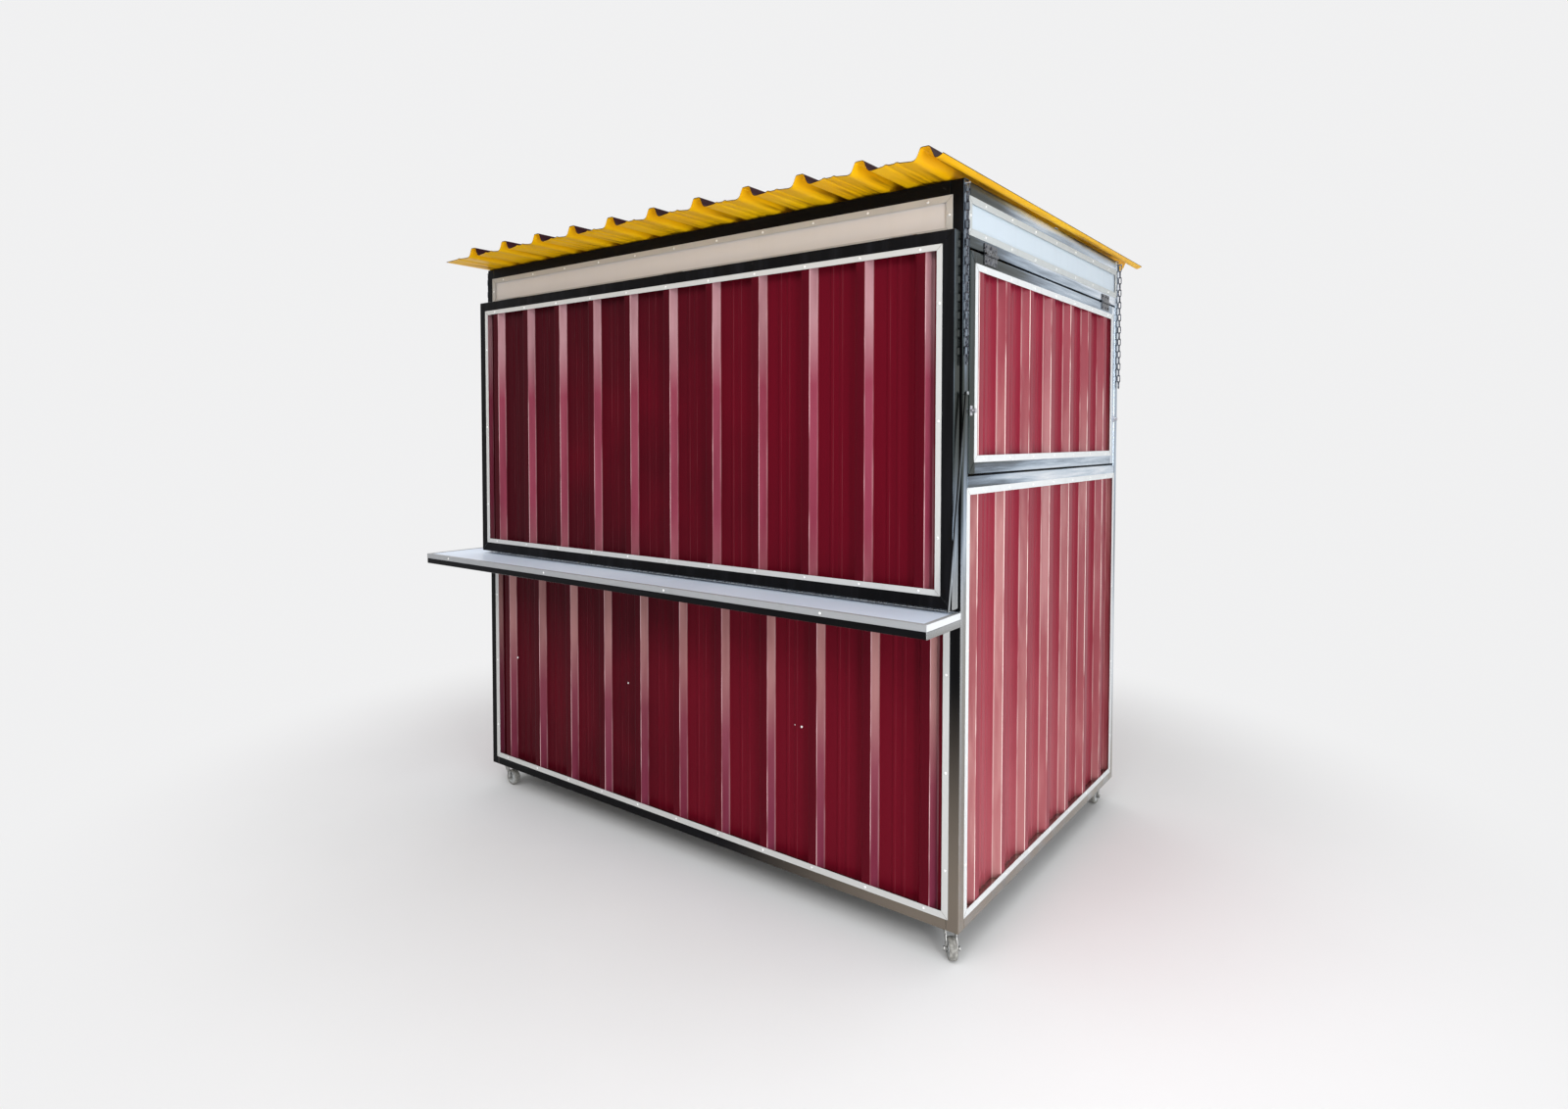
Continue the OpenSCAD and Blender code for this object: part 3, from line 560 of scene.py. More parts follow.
def tube_steel(name, stretch, high_shine=0.0):
    """Drawn tube with painted reflections, streaked and blotched along its length: dark at the front, silver
    towards the back and low down, and warm low at the front. It is muddy low down.

    The front faces are painted black; that paint is worn, and lighter at its lower right corner with painted
    sunlight and dust. The high shine is how bright the painted reflection gets on the tube's upper part at the
    front.
    """
    material, tree, shader, place = new_material(name)
    x, y, z = split(tree, place)
    if callable(stretch):
        stretch = stretch(tree, y)
    streaks = noise(tree, place, 30, 4, stretch)
    blots = noise(tree, place, 8, 4, stretch)
    # Painted reflections: blotches and streaks, silver towards the back and low down, and shine high up
    sheen = combine(tree, "ADD", product(tree, blots, 0.5), product(tree, streaks, 0.5))
    silver = larger(tree, ramp(tree, y, *SILVER_Y), ramp(tree, z, *SILVER_Z, 0, 0.8))
    silver = larger(tree, silver, ramp(tree, z, *HIGH_SHINE_Z, 0, high_shine))
    contrast = combine(tree, "SUBTRACT", product(tree, sheen, STEEL_CONTRAST), STEEL_OFFSET)
    steel = tones(tree, combine(tree, "ADD", product(tree, silver, STEEL_LIFT), contrast), STEEL_TONES)
    # Painted warm reflection low at the front
    warm = product(tree, ramp(tree, z, *WARM_Z), ramp(tree, y, *WARM_Y, 0.25, 0.7))
    steel = mix(tree, warm, steel, WARM_REFLECTION)
    splashes = ramp(tree, noise(tree, place, 14, 4), 0.25, 0.6, 0.45, 0.95)
    steel = mix(tree, product(tree, ramp(tree, z, *MUD_Z), splashes), steel, MUD)
    grain = bump(tree, noise(tree, place, 160, 3, stretch), 0.06, 0.0008)
    set_inputs(tree, shader, Base_Color=steel, Metallic=0.95, Normal=grain,
               Roughness=ramp(tree, streaks, 0.3, 0.8, 0.16, 0.32))
    black = mix(tree, ramp(tree, streaks, 0.4, 0.8), BLACK, BLACK_STREAK)
    black = mix(tree, ramp(tree, noise(tree, place, 55, 6), 0.67, 0.76, 0, 0.2), black, BLACK_WORN)
    # Painted sunlight and dust lighten the black paint at the lower right
    sunlit_low_right = product(tree, ramp(tree, x, *SUNLIT_BLACK_X), ramp(tree, z, *SUNLIT_BLACK_Z))
    black = mix(tree, sunlit_low_right, black, BLACK_SUNLIT_DUSTY)
    paint = add(tree, "ShaderNodeBsdfPrincipled", Base_Color=black, Specular_IOR_Level=0.06, Normal=grain,
                Roughness=ramp(tree, blots, 0.3, 0.7, 0.34, 0.5))
    front = product(tree, ramp(tree, facing(tree, TO_FRONT), 0.55, 0.8), ramp(tree, y, *BLACK_Y))
    mix_shaders(tree, front, shader, paint)
    return material


def flap_grain(tree, y):
    """Noise drawn out upwards in the stiles of a side flap's frame, and sideways in its rails."""
    low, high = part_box("right_flap_frame")
    inner = (high[Y] - low[Y]) / 2 - FLAP_TUBE
    across = absolute(tree, combine(tree, "SUBTRACT", y, (low[Y] + high[Y]) / 2))
    stile = ramp(tree, across, inner - GRAIN_BLEND, inner + GRAIN_BLEND)
    return mix(tree, stile, (*RAIL_GRAIN, 1), (*POST_GRAIN, 1))


def coated_white(name, colour, right, grime, dirt=0.2, specks_from=0.66, roughness=0.4):
    """White strip or board with handling marks and faint runs of dirt; where it faces right it turns to the
    right tone, a painted reflection of blue sky with painted light.
    """
    material, tree, shader, place = new_material(name)
    runs = noise(tree, place, 24, 4, TRIM_RUN)
    specks = noise(tree, place, 90, 3)
    # Painted light and a painted reflection of blue sky where it faces right
    base = mix(tree, ramp(tree, facing(tree, TO_RIGHT), 0.4, 0.8), colour, right)
    base = mix(tree, ramp(tree, runs, 0.5, 0.85, 0, dirt), base, grime)
    base = mix(tree, ramp(tree, specks, specks_from, 0.82, 0, 0.5), base, grime)
    set_inputs(tree, shader, Base_Color=base, Specular_IOR_Level=0.3,
               Roughness=ramp(tree, runs, 0.3, 0.8, roughness, roughness + 0.18),
               Normal=bump(tree, noise(tree, place, 260, 2), 0.06, 0.0004))
    return material


def laminate(name):
    """Blue-white counter laminate with wiped smears and fine scratches."""
    material, tree, shader, place = new_material(name)
    smears = noise(tree, place, 4, 4, COUNTER_SMEAR)
    scratches = noise(tree, place, 130, 3, COUNTER_SCRATCH)
    base = mix(tree, ramp(tree, smears, 0.35, 0.7), *LAMINATE)
    base = mix(tree, ramp(tree, scratches, 0.64, 0.8, 0, 0.3), base, SCRATCH)
    set_inputs(tree, shader, Base_Color=base, Roughness=ramp(tree, smears, 0.3, 0.75, 0.32, 0.48),
               Specular_IOR_Level=0.4, Normal=bump(tree, scratches, 0.04, 0.0004))
    return material


def plated(name, colour, dark, metallic=0.9, rough=(0.25, 0.45), eyes=None):
    """Plated hardware, mottled by its crystals and a little rusty; eyes is the tone of low pieces."""
    material, tree, shader, place = new_material(name)
    spangle = add(tree, "ShaderNodeTexVoronoi", Vector=place, Scale=SPANGLE_SCALE).outputs["Color"]
    tone = add(tree, "ShaderNodeSeparateColor", Color=spangle).outputs[0]
    base = mix(tree, tone, dark, colour)
    if eyes is not None:
        base = mix(tree, ramp(tree, split(tree, place)[Z], *EYES_Z), base, eyes)
    rust = ramp(tree, noise(tree, place, 70, 5), 0.66, 0.78, 0, 0.5)
    base = mix(tree, rust, base, RUST)
    set_inputs(tree, shader, Base_Color=base, Metallic=metallic, Roughness=ramp(tree, tone, 0, 1, *rough),
               Normal=bump(tree, noise(tree, place, 300, 3), 0.08, 0.0004))
    return material


def moulded(name, light, dark, rough):
    """Scuffed rubber, plastic or grime."""
    material, tree, shader, place = new_material(name)
    scuffs = noise(tree, place, 120, 5)
    base = mix(tree, ramp(tree, scuffs, 0.4, 0.75), dark, light)
    set_inputs(tree, shader, Base_Color=base, Roughness=ramp(tree, scuffs, 0.3, 0.8, rough, rough + 0.25),
               Normal=bump(tree, scuffs, 0.15, 0.0006))
    return material


# One maroon coat in lit and shaded copies: the side and rear copies are lighter with painted light, the front
# copy darker with painted shade
SIDE_COAT = {
    "colour": (0.300, 0.019, 0.044, 1), "dark": (0.225, 0.011, 0.029, 1), "low_light_tone": (0.38, 0.085, 0.105, 1),
    "flank_light_tones": ((1.00, (0.58, 0.30, 0.29, 1)), (1.30, (0.60, 0.34, 0.32, 1)), (1.60, (0.50, 0.20, 0.20, 1)),
              (1.75, (0.36, 0.07, 0.09, 1))),
    "glint": (0.88, 0.72, 0.68, 1), "flank": TO_FRONT, "specular": 0.15, "coat": 0.1,
}
MAROON_FRONT = painted_sheet(
    "maroon_front", colour=(0.126, 0.0027, 0.0112, 1), dark=(0.052, 0.0022, 0.0064, 1),
    low_light_tone=(0.150, 0.0050, 0.0150, 1),
    flank_light_tones=((0.25, (0.20, 0.034, 0.066, 1)), (0.50, (0.25, 0.060, 0.090, 1)), (0.72, (0.40, 0.190, 0.190, 1)),
           (1.00, (0.42, 0.215, 0.200, 1)), (1.04, (0.34, 0.105, 0.130, 1)), (1.25, (0.29, 0.047, 0.086, 1)),
           (1.68, (0.30, 0.052, 0.090, 1)), (1.90, (0.50, 0.270, 0.300, 1))),
    glint=(0.66, 0.42, 0.44, 1), flank=TO_RIGHT, out=TO_FRONT, flank_light=(0.25, 0.7, 0.6, 1.0),
    bend_highlight=(0.38, 0.62, 0.15, 0.9), specular=0.04, coat=0.0, left_darker=0.2)
MAROON_RIGHT = painted_sheet("maroon_right", out=TO_RIGHT, **SIDE_COAT)
MAROON_LEFT = painted_sheet("maroon_left", out=TO_LEFT, **SIDE_COAT)
MAROON_REAR = painted_sheet(
    "maroon_rear", colour=(0.24, 0.012, 0.030, 1), dark=(0.18, 0.008, 0.022, 1),
    low_light_tone=(0.30, 0.05, 0.07, 1), flank_light_tones=((0.98, (0.42, 0.16, 0.18, 1)), (1.30, (0.33, 0.07, 0.09, 1))),
    glint=(0.70, 0.48, 0.48, 1), flank=TO_RIGHT, out=TO_BACK, specular=0.12, coat=0.08)
ROOF_TOP = roof_coat("roof_maroon", colour=(0.034, 0.0055, 0.010, 1), dark=(0.020, 0.0045, 0.007, 1),
                     shade_and_stain=(0.02, 0.008, 0.008, 1), specular=0.02)
ROOF_UNDER = roof_coat("roof_yellow", colour=(0.98, 0.57, 0.004, 1), dark=(0.90, 0.47, 0.003, 1),
                       shade_and_stain=(0.20, 0.07, 0.004, 1), specular=0.12)
BACKING = sheet_backing("sheet_backing")
POST_STEEL = tube_steel("post_steel", POST_GRAIN, high_shine=0.5)
RAIL_STEEL = tube_steel("rail_steel", RAIL_GRAIN)
FLAP_STEEL = tube_steel("flap_steel", flap_grain)
# The right tones are a painted reflection of blue sky, lighter on the strips with painted light; the grey front
# of the counter's edge is painted shade
TRIM_WHITE = coated_white("trim_white", colour=(0.60, 0.60, 0.59, 1), right=(0.72, 0.74, 0.75, 1),
                          grime=(0.40, 0.39, 0.37, 1))
BOARD_TRIM = coated_white("fascia_trim_white", colour=(0.54, 0.52, 0.49, 1), right=(0.52, 0.55, 0.55, 1),
                          grime=(0.36, 0.35, 0.33, 1))
BOARD_WHITE = coated_white("fascia_white", colour=(0.74, 0.70, 0.68, 1), right=(0.60, 0.69, 0.77, 1),
                           grime=(0.60, 0.58, 0.54, 1), dirt=0.1, specks_from=0.74, roughness=0.3)
COUNTER = laminate("counter_laminate")
EDGE_WHITE = coated_white("counter_edge_white", colour=(0.36, 0.37, 0.385, 1), right=(0.70, 0.72, 0.74, 1),
                          grime=(0.31, 0.31, 0.31, 1), specks_from=0.64, roughness=0.35)
HINGE = plated("hinge_dark", colour=(0.24, 0.25, 0.27, 1), dark=(0.02, 0.02, 0.024, 1),
               eyes=(0.62, 0.62, 0.66, 1))
ZINC = plated("zinc_plate", colour=(0.74, 0.77, 0.80, 1), dark=(0.30, 0.32, 0.35, 1), metallic=0.95,
              rough=(0.18, 0.35))
FORK = plated("fork_zinc", colour=(0.62, 0.62, 0.60, 1), dark=(0.09, 0.09, 0.088, 1), metallic=0.85,
              rough=(0.36, 0.55))
CHAIN = plated("chain_zinc", colour=(0.17, 0.18, 0.21, 1), dark=(0.010, 0.012, 0.022, 1), rough=(0.22, 0.4))
RIVET = plated("rivet_bright", colour=(0.95, 0.95, 0.94, 1), dark=(0.84, 0.84, 0.84, 1), metallic=0.2,
               rough=(0.25, 0.4))
SEAM = moulded("seam_grime", light=(0.24, 0.23, 0.21, 1), dark=(0.13, 0.125, 0.115, 1), rough=0.6)
TYRE = moulded("caster_rubber", light=(0.42, 0.41, 0.38, 1), dark=(0.20, 0.195, 0.18, 1), rough=0.5)
HUB = moulded("caster_hub", light=(0.68, 0.70, 0.70, 1), dark=(0.46, 0.47, 0.47, 1), rough=0.3)


# Tubes and strips that stay as CAD nodes

def dress(material, *nodes):
    """Gives CAD nodes their finish."""
    for node in nodes:
        slots = frame["nodes"][node].data.materials
        slots.clear()
        slots.append(material)


def dress_tubes(material, *nodes):
    """Gives CAD tubes their finish and rounded edges."""
    dress(material, *nodes)
    for node in nodes:
        modifiers = frame["nodes"][node].modifiers
        weld = modifiers.new("weld", "WELD")
        weld.merge_threshold = SAME
        flat = modifiers.new("flat", "DECIMATE")
        flat.decimate_type = "DISSOLVE"
        flat.angle_limit = math.radians(FLAT_DEG)
        bevel = modifiers.new("round", "BEVEL")
        bevel.width = TUBE_ROUND
        bevel.segments = TUBE_ROUND_STEPS
        bevel.limit_method = "ANGLE"
        bevel.angle_limit = math.radians(EDGE_DEG)
        modifiers.new("normals", "WEIGHTED_NORMAL").keep_sharp = False


dress_tubes(POST_STEEL, "front_posts", "rear_posts", "rear_jambs")
dress_tubes(RAIL_STEEL, "base_rails", "upper_rails", "roof_battens", "counter_frame")
dress_tubes(FLAP_STEEL, "front_flap_frame", "right_flap_frame", "left_flap_frame", "rear_door_frame")
dress(POST_STEEL, "right_prop", "left_prop")
dress(TRIM_WHITE, "wall_trims", "front_flap_trim", "right_flap_trim", "left_flap_trim")
dress(BOARD_TRIM, "fascia_trims")
dress(BOARD_WHITE, "fascia_boards")
dress(COUNTER, "counter_top")
dress(EDGE_WHITE, "counter_edge")
dress(HINGE, "hinge_leaves", "front_flap_leaves", "right_flap_fittings", "left_flap_fittings",
      "rear_door_fittings")
dress(ZINC, "post_fittings")
dress(FORK, "caster_plates", *("fork_" + corner for corner in CORNERS))


# Rolled sheets

def rounded(line, radius):
    """The line with each corner eased into a short curve."""
    points = [line[0]]
    for before, corner, after in zip(line, line[1:], line[2:]):
        back = before - corner
        ahead = after - corner
        cut = min(radius, BEND_SHARE * back.length, BEND_SHARE * ahead.length)
        start = corner + back.normalized() * cut
        end = corner + ahead.normalized() * cut
        for k in range(BEND_STEPS + 1):
            t = k / BEND_STEPS
            points.append((1 - t) ** 2 * start + 2 * t * (1 - t) * corner + t ** 2 * end)
    points.append(line[-1])
    return points


def outer_line(solid, axes):
    """A CAD sheet's outer line as (along, outwards) points, and the sheet's thickness."""
    along, out, sign, _ = axes
    places = np.unique(solid[:, along].round(5))
    line = []
    for place in places:
        at = np.abs(solid[:, along] - place) < SAME
        line.append(Vector((place, (sign * solid[at, out]).max())))
    first = np.abs(solid[:, along] - places[0]) < SAME
    return line, float(np.ptp(solid[first, out]))


def with_flanges(line):
    """Turns both ends of a wall sheet up to its crest, as they are folded against the posts."""
    crest = max(point[1] for point in line) - FLANGE
    (x0, y0), (x1, y1) = line[0], line[-1]
    first = [Vector((x0, crest)), Vector((x0 + FLANGE, y0))]
    last = [Vector((x1 - FLANGE, y1)), Vector((x1, crest))]
    return first + line[1:-1] + last


def with_bowed_pans(line):
    """Lifts the middle of each roof pan a little, more in some pans than in others."""
    low = min(point[1] for point in line)
    crest = max(point[1] for point in line)
    feet = [i for i, point in enumerate(line) if point[1] < low + PAN_SHARE * (crest - low)]
    runs = np.split(feet, np.where(np.diff(feet) != 1)[0] + 1)
    bowed = [point.copy() for point in line]
    for k, run in enumerate(runs):
        start = line[run[0]][0]
        end = line[run[-1]][0]
        rise = PAN_BOW * (PAN_BOW_LEAST + (1 - PAN_BOW_LEAST) * abs(math.sin(PAN_BOW_TURN * k)))
        for i in run:
            bowed[i][1] += rise * math.sin(math.pi * (line[i][0] - start) / max(end - start, SAME))
    return bowed


def rolled_sheet(solid, axes, bend, shape):
    """A CAD sheet with bends of a true radius: its vertices, faces, sides and rise.

    Sides are 0 for outer faces, 1 for inner ones and 2 for cut edges.
    """
    along, out, sign, run = axes
    outer, thickness = outer_line(solid, axes)
    line = rounded(shape(outer), bend)
    levels = [point[1] for point in line]
    rise = [(level - min(levels)) / (max(levels) - min(levels)) for level in levels] * 4
    verts = []
    for end in (solid[:, run].min(), solid[:, run].max()):
        for depth in (0.0, thickness):
            for point in line:
                vert = Vector()
                vert[along] = point[0]
                vert[out] = sign * (point[1] - depth)
                vert[run] = end
                verts.append(vert)
    count = len(line)
    last = count - 1
    outer_0, inner_0, outer_1, inner_1 = (k * count for k in range(4))
    faces = []
    sides = []
    for i in range(last):
        faces.append((outer_0 + i, outer_0 + i + 1, outer_1 + i + 1, outer_1 + i))
        faces.append((inner_0 + i, inner_1 + i, inner_1 + i + 1, inner_0 + i + 1))
        faces.append((outer_0 + i, inner_0 + i, inner_0 + i + 1, outer_0 + i + 1))
        faces.append((outer_1 + i, outer_1 + i + 1, inner_1 + i + 1, inner_1 + i))
        sides.extend((0, 1, 2, 2))
    faces.append((outer_0, outer_1, inner_1, inner_0))
    faces.append((outer_0 + last, inner_0 + last, inner_1 + last, outer_1 + last))
    sides.extend((2, 2))
    return verts, faces, sides, rise


def sheet_piece(node, body, axes, finishes, bend=WALL_BEND, shape=with_flanges):
    """Replaces a CAD sheet node by its rolled look."""
    parts = [rolled_sheet(solid, axes, bend, shape) for solid in solids(node)]
    verts, faces = join([part[:2] for part in parts])
    sides = [side for part in parts for side in part[2]]
    rise = [value for part in parts for value in part[3]]
    piece = new_piece(node + "_rolled", verts, faces, body, finishes, sides, rise)
    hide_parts(node)


for node, body, axes, maroon in (
        ("front_wall", "kiosk", FRONT_AXES, MAROON_FRONT),
        ("front_flap_panel", "front_flap", FRONT_AXES, MAROON_FRONT),
        ("right_wall", "kiosk", RIGHT_AXES, MAROON_RIGHT),
        ("right_flap_panel", "right_flap", RIGHT_AXES, MAROON_RIGHT),
        ("left_wall", "kiosk", LEFT_AXES, MAROON_LEFT),
        ("left_flap_panel", "left_flap", LEFT_AXES, MAROON_LEFT),
        ("rear_walls", "kiosk", REAR_AXES, MAROON_REAR),
        ("rear_door_panel", "kiosk", REAR_AXES, MAROON_REAR)):
    sheet_piece(node, body, axes, [maroon, BACKING, ZINC])
sheet_piece("roof_sheet", "kiosk", ROOF_AXES, [ROOF_TOP, ROOF_UNDER, ROOF_TOP],
            ROOF_BEND, with_bowed_pans)


# Fasteners, seams and welds

def rivet(at, out):
    """Low dome head."""
    return lathe([(r * RIVET_R, h * RIVET_H) for r, h in RIVET_PROFILE], RIVET_SIDES, at, out)


def hex_screw(at, out):
    """Hexagon head on a round washer."""
    rim, top = (share * SCREW_R for share in WASHER_SHARES)
    washer = lathe([(rim, -WASHER_SINK), (rim, WASHER_RIM), (top, WASHER_H)], WASHER_SIDES, at, out)
    eased = SCREW_EASE * SCREW_R
    rows = [(SCREW_R, WASHER_RIM), (SCREW_R, eased), (eased, SCREW_R)]
    return join([washer, lathe(rows, HEX_SIDES, at, out)])


def weld_bead(start, end):
    """Rippled bead along a line, half sunk in the metal."""
    run = end - start
    steps = 2 * max(2, round(run.length / RIPPLE))
    rows = [(BEAD_R * (1.0 if k % 2 else BEAD_DIP), run.length * k / steps) for k in range(steps + 1)]
    return lathe(rows, WIRE_SIDES, start, run)


FRAME_LOW, FRAME_HIGH = (Vector(corner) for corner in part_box("base_rails"))
FRAME_MIDDLE = (FRAME_LOW + FRAME_HIGH) / 2


class FlatRing:
    """A ring of strips or tubes in a wall: its axes, outer face, edges and strip width."""

    def __init__(self, solid):
        low = solid.min(0)
        high = solid.max(0)
        self.out = int(np.argmin((high - low)[:2]))
        self.along = 1 - self.out
        self.sign = 1 if low[self.out] > FRAME_MIDDLE[self.out] else -1
        self.face = high[self.out] if self.sign > 0 else low[self.out]
        self.ends = (low[self.along], high[self.along])
        self.heights = (low[Z], high[Z])
        self.width = float(np.diff(np.unique(solid[:, self.along].round(5)))[0])
        # A ring cut off at the counter's wing lacks one of its level strips
        self.rows = [z for z, inward in ((low[Z], 1), (high[Z], -1))
                     if (np.abs(solid[:, Z] - z - inward * self.width) < SAME).any()]

    def outward(self):
        """Direction that the outer face looks in."""
        direction = Vector()
        direction[self.out] = self.sign
        return direction

    def at(self, u, z):
        """Point of the outer face, from a place along the wall and a height."""
        point = Vector((0, 0, z))
        point[self.along] = u
        point[self.out] = self.face
        return point

    def mitres(self):
        """Outer and inner end of the joint at each corner."""
        middle = sum(self.heights) / 2
        for z in self.rows:
            inner_z = z + math.copysign(self.width, middle - z)
            for u, inward in zip(self.ends, (1, -1)):
                yield self.at(u, z), self.at(u + inward * self.width, inner_z)

    def fasteners(self):
        """Places at each rib along level strips, and evenly up the stiles."""
        half = self.width / 2
        low, high = self.heights
        middle = sum(self.ends) / 2
        reach = math.floor((self.ends[1] - middle - 2 * self.width) / RIB_STEP)
        for z in self.rows:
            row_z = z + math.copysign(half, (low + high) / 2 - z)
            for k in range(-reach, reach + 1):
                yield self.at(middle + k * RIB_STEP, row_z)
        count = max(1, round((high - low) / STILE_STEP))
        for u in (self.ends[0] + half, self.ends[1] - half):
            for k in range(count):
                yield self.at(u, low + (k + 0.5) / count * (high - low))


def mitre_seam(start, end, outward):
    """Thin dark line where two strips meet at a corner."""
    across = (end - start).cross(outward).normalized() * (MITRE_W / 2)
    outline = [start - across, end - across, end + across, start + across]
    return prism([point - outward * MITRE_H for point in outline], outward * (2 * MITRE_H))


def strip_details(node, body):
    """Rivets and corner seams on the strips of a node."""
    rings = [FlatRing(solid) for solid in solids(node)]
    rivets = [rivet(at, ring.outward()) for ring in rings for at in ring.fasteners()]
    seams = [mitre_seam(start, end, ring.outward()) for ring in rings for start, end in ring.mitres()]
    small_parts(node + "_rivets", rivets, body, RIVET)
    small_parts(node + "_seams", seams, body, SEAM)


for node, body in (("wall_trims", "kiosk"), ("fascia_trims", "kiosk"), ("front_flap_trim", "front_flap"),
                   ("right_flap_trim", "right_flap"), ("left_flap_trim", "left_flap")):
    strip_details(node, body)


def flap_welds(node, body):
    """Mitred corner welds of a flap's or the door's tube frame."""
    rings = [FlatRing(solid) for solid in solids(node)]
    beads = [weld_bead(start.lerp(end, BEAD_START), end) for ring in rings for start, end in ring.mitres()]
    small_parts(node + "_welds", beads, body, FLAP_STEEL)


for node, body in (("front_flap_frame", "front_flap"), ("right_flap_frame", "right_flap"),
                   ("left_flap_frame", "left_flap"), ("rear_door_frame", "kiosk")):
    flap_welds(node, body)


def roof_screws():
    """Sheeting screws through each roof rib over each batten."""
    line, _ = outer_line(solids("roof_sheet")[0], ROOF_AXES)
    top = max(point[1] for point in line)
    edges = [point[0] for point in line if point[1] > top - SAME]
    ribs = [(a + b) / 2 for a, b in zip(edges[::2], edges[1::2])]
    rows = [batten.mean(0)[Y] for batten in solids("roof_battens")]
    heads = [hex_screw((x, y, top), UP) for x in ribs for y in rows]
    small_parts("roof_screws", heads, "kiosk", ZINC)


def sheet_screws():
    """Screws through the pans of the lower front wall."""
    line, _ = outer_line(solids("front_wall")[0], FRONT_AXES)
    pan_y = -line[0][1]
    heads = [rivet((x, pan_y, z), TO_FRONT) for x, z in SHEET_SCREWS]
    small_parts("front_wall_screws", heads, "kiosk", RIVET)


def counter_rivets():
    """Rivets along the counter's white edge, at the front and along the wing."""
    low, high = (Vector(corner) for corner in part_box("counter_edge"))
    z = (low.z + high.z) / 2
    margin = EDGE_STEP / 4
    front = np.arange(high.x - EDGE_FIRST, low.x + margin, -EDGE_STEP)
    wing = np.arange(low.y + EDGE_FIRST, high.y - margin, EDGE_STEP)
    heads = [rivet((x, low.y, z), TO_FRONT) for x in front]
    heads += [rivet((low.x, y, z), TO_LEFT) for y in wing]
    small_parts("counter_rivets", heads, "kiosk", RIVET)


def counter_lips():
    """The edge strip's lip folded onto the counter's top, with a seam along its inner side."""
    low, high = (Vector(corner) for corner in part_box("counter_edge"))
    back = FRAME_LOW.y
    left = low.x + LIP_W
    right = high.x - LIP_W
    front = low.y + LIP_W
    up = Vector(UP)
    strips = ((low.x, low.y, high.x, front), (right, front, high.x, back), (low.x, front, left, high.y))
    lips = []
    for x0, y0, x1, y1 in strips:
        outline = [Vector((x, y, high.z)) for x, y in ((x0, y0), (x1, y0), (x1, y1), (x0, y1))]
        lips.append(prism(outline, LIP_T * up))
    seam_z = high.z + LIP_T / 2
    lines = ((left, front, right, front), (right, front, right, back), (left, front, left, high.y))
    seams = [mitre_seam(Vector((x0, y0, seam_z)), Vector((x1, y1, seam_z)), up) for x0, y0, x1, y1 in lines]
    small_parts("counter_lips", lips, "kiosk", EDGE_WHITE)
    small_parts("counter_lip_seams", seams, "kiosk", SEAM)


def counter_back_bead():
    """Quarter-round bead where the counter meets the front wall."""
    corner = Vector((FRAME_LOW.x, FRAME_LOW.y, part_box("counter_edge")[1][Z]))
    angles = [math.pi / 2 * k / BEND_STEPS for k in range(BEND_STEPS + 1)]
    arc = [corner + BACK_BEAD_R * Vector((0, -math.sin(angle), math.cos(angle))) for angle in angles]
    bead = prism([corner] + arc, Vector((FRAME_HIGH.x - FRAME_LOW.x, 0, 0)))
    small_parts("counter_back_bead", [bead], "kiosk", ZINC)


def hinge_screws(node, body, up):
    """Three screws in each long hinge leaf on the side walls."""
    heads = []
    for solid in solids(node):
        low = Vector(solid.min(0))
        high = Vector(solid.max(0))
        length = high.y - low.y
        on_right = low.x > FRAME_MIDDLE.x
        side, wall, near = (1, FRAME_HIGH.x, low.x) if on_right else (-1, FRAME_LOW.x, high.x)
        if length > LEAF_MIN and side * (near - wall) > -LEAF_SCREW_EDGE:
            z = high.z - LEAF_SCREW_EDGE if up else low.z + LEAF_SCREW_EDGE
            for share in LEAF_SCREW_SHARES:
                heads.append(rivet((wall + side * LEAF_T, low.y + share * length, z), (side, 0, 0)))
    small_parts(node + "_screws", heads, body, CHAIN)


roof_screws()
sheet_screws()
counter_rivets()
counter_lips()
counter_back_bead()
hinge_screws("hinge_leaves", "kiosk", True)
hinge_screws("right_flap_fittings", "right_flap", False)
hinge_screws("left_flap_fittings", "left_flap", False)


# Casters

def axle_of(corner):
    """Direction and middle of a caster's axle."""
    roll = next(joint for joint in frame["joints"] if joint["name"] == corner + "_roll")
    return Vector(roll["axis"]).normalized(), Vector(roll["pos_m"])


def turned_wheel(corner):
    """Tyre with round shoulders on a dished hub, in place of the CAD wheel."""
    axle, middle = axle_of(corner)
    offsets = [v.co - middle for v in frame["nodes"]["wheel_" + corner].data.vertices]
    radii = [(offset - offset.dot(axle) * axle).length for offset in offsets]
    half = max(abs(offset.dot(axle)) for offset in offsets)
    outer = max(radii)
    bore = min(radii)
    boss = bore + HUB_BOSS
    seat = outer - TYRE_DEPTH
    dish = half - HUB_DISH
    rim = half - HUB_EASE
    hub_rows = [(bore, half), (boss, half), (boss + HUB_EASE, dish), (seat - HUB_EASE, dish), (seat, rim)]
    shoulder = [(outer - r * TYRE_SHOULDER, half - h * TYRE_SHOULDER) for r, h in TYRE_PROFILE]
    groove = [(outer, TREAD_GROOVE), (outer - TREAD_GROOVE / 2, TREAD_GROOVE / 2)]
    tyre_rows = [(seat, rim)] + shoulder + groove
    hub, tyre = (lathe(rows + [(r, -h) for r, h in reversed(rows)], sides, middle, axle, bore=True)
                 for rows, sides in ((hub_rows, HUB_SIDES), (tyre_rows, TYRE_SIDES)))
    verts, faces = join([hub, tyre])
    marks = [0] * len(hub[1]) + [1] * len(tyre[1])
    piece = new_piece("wheel_" + corner + "_turned", verts, faces, "roller_" + corner, [HUB, TYRE], marks)
    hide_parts("wheel_" + corner)


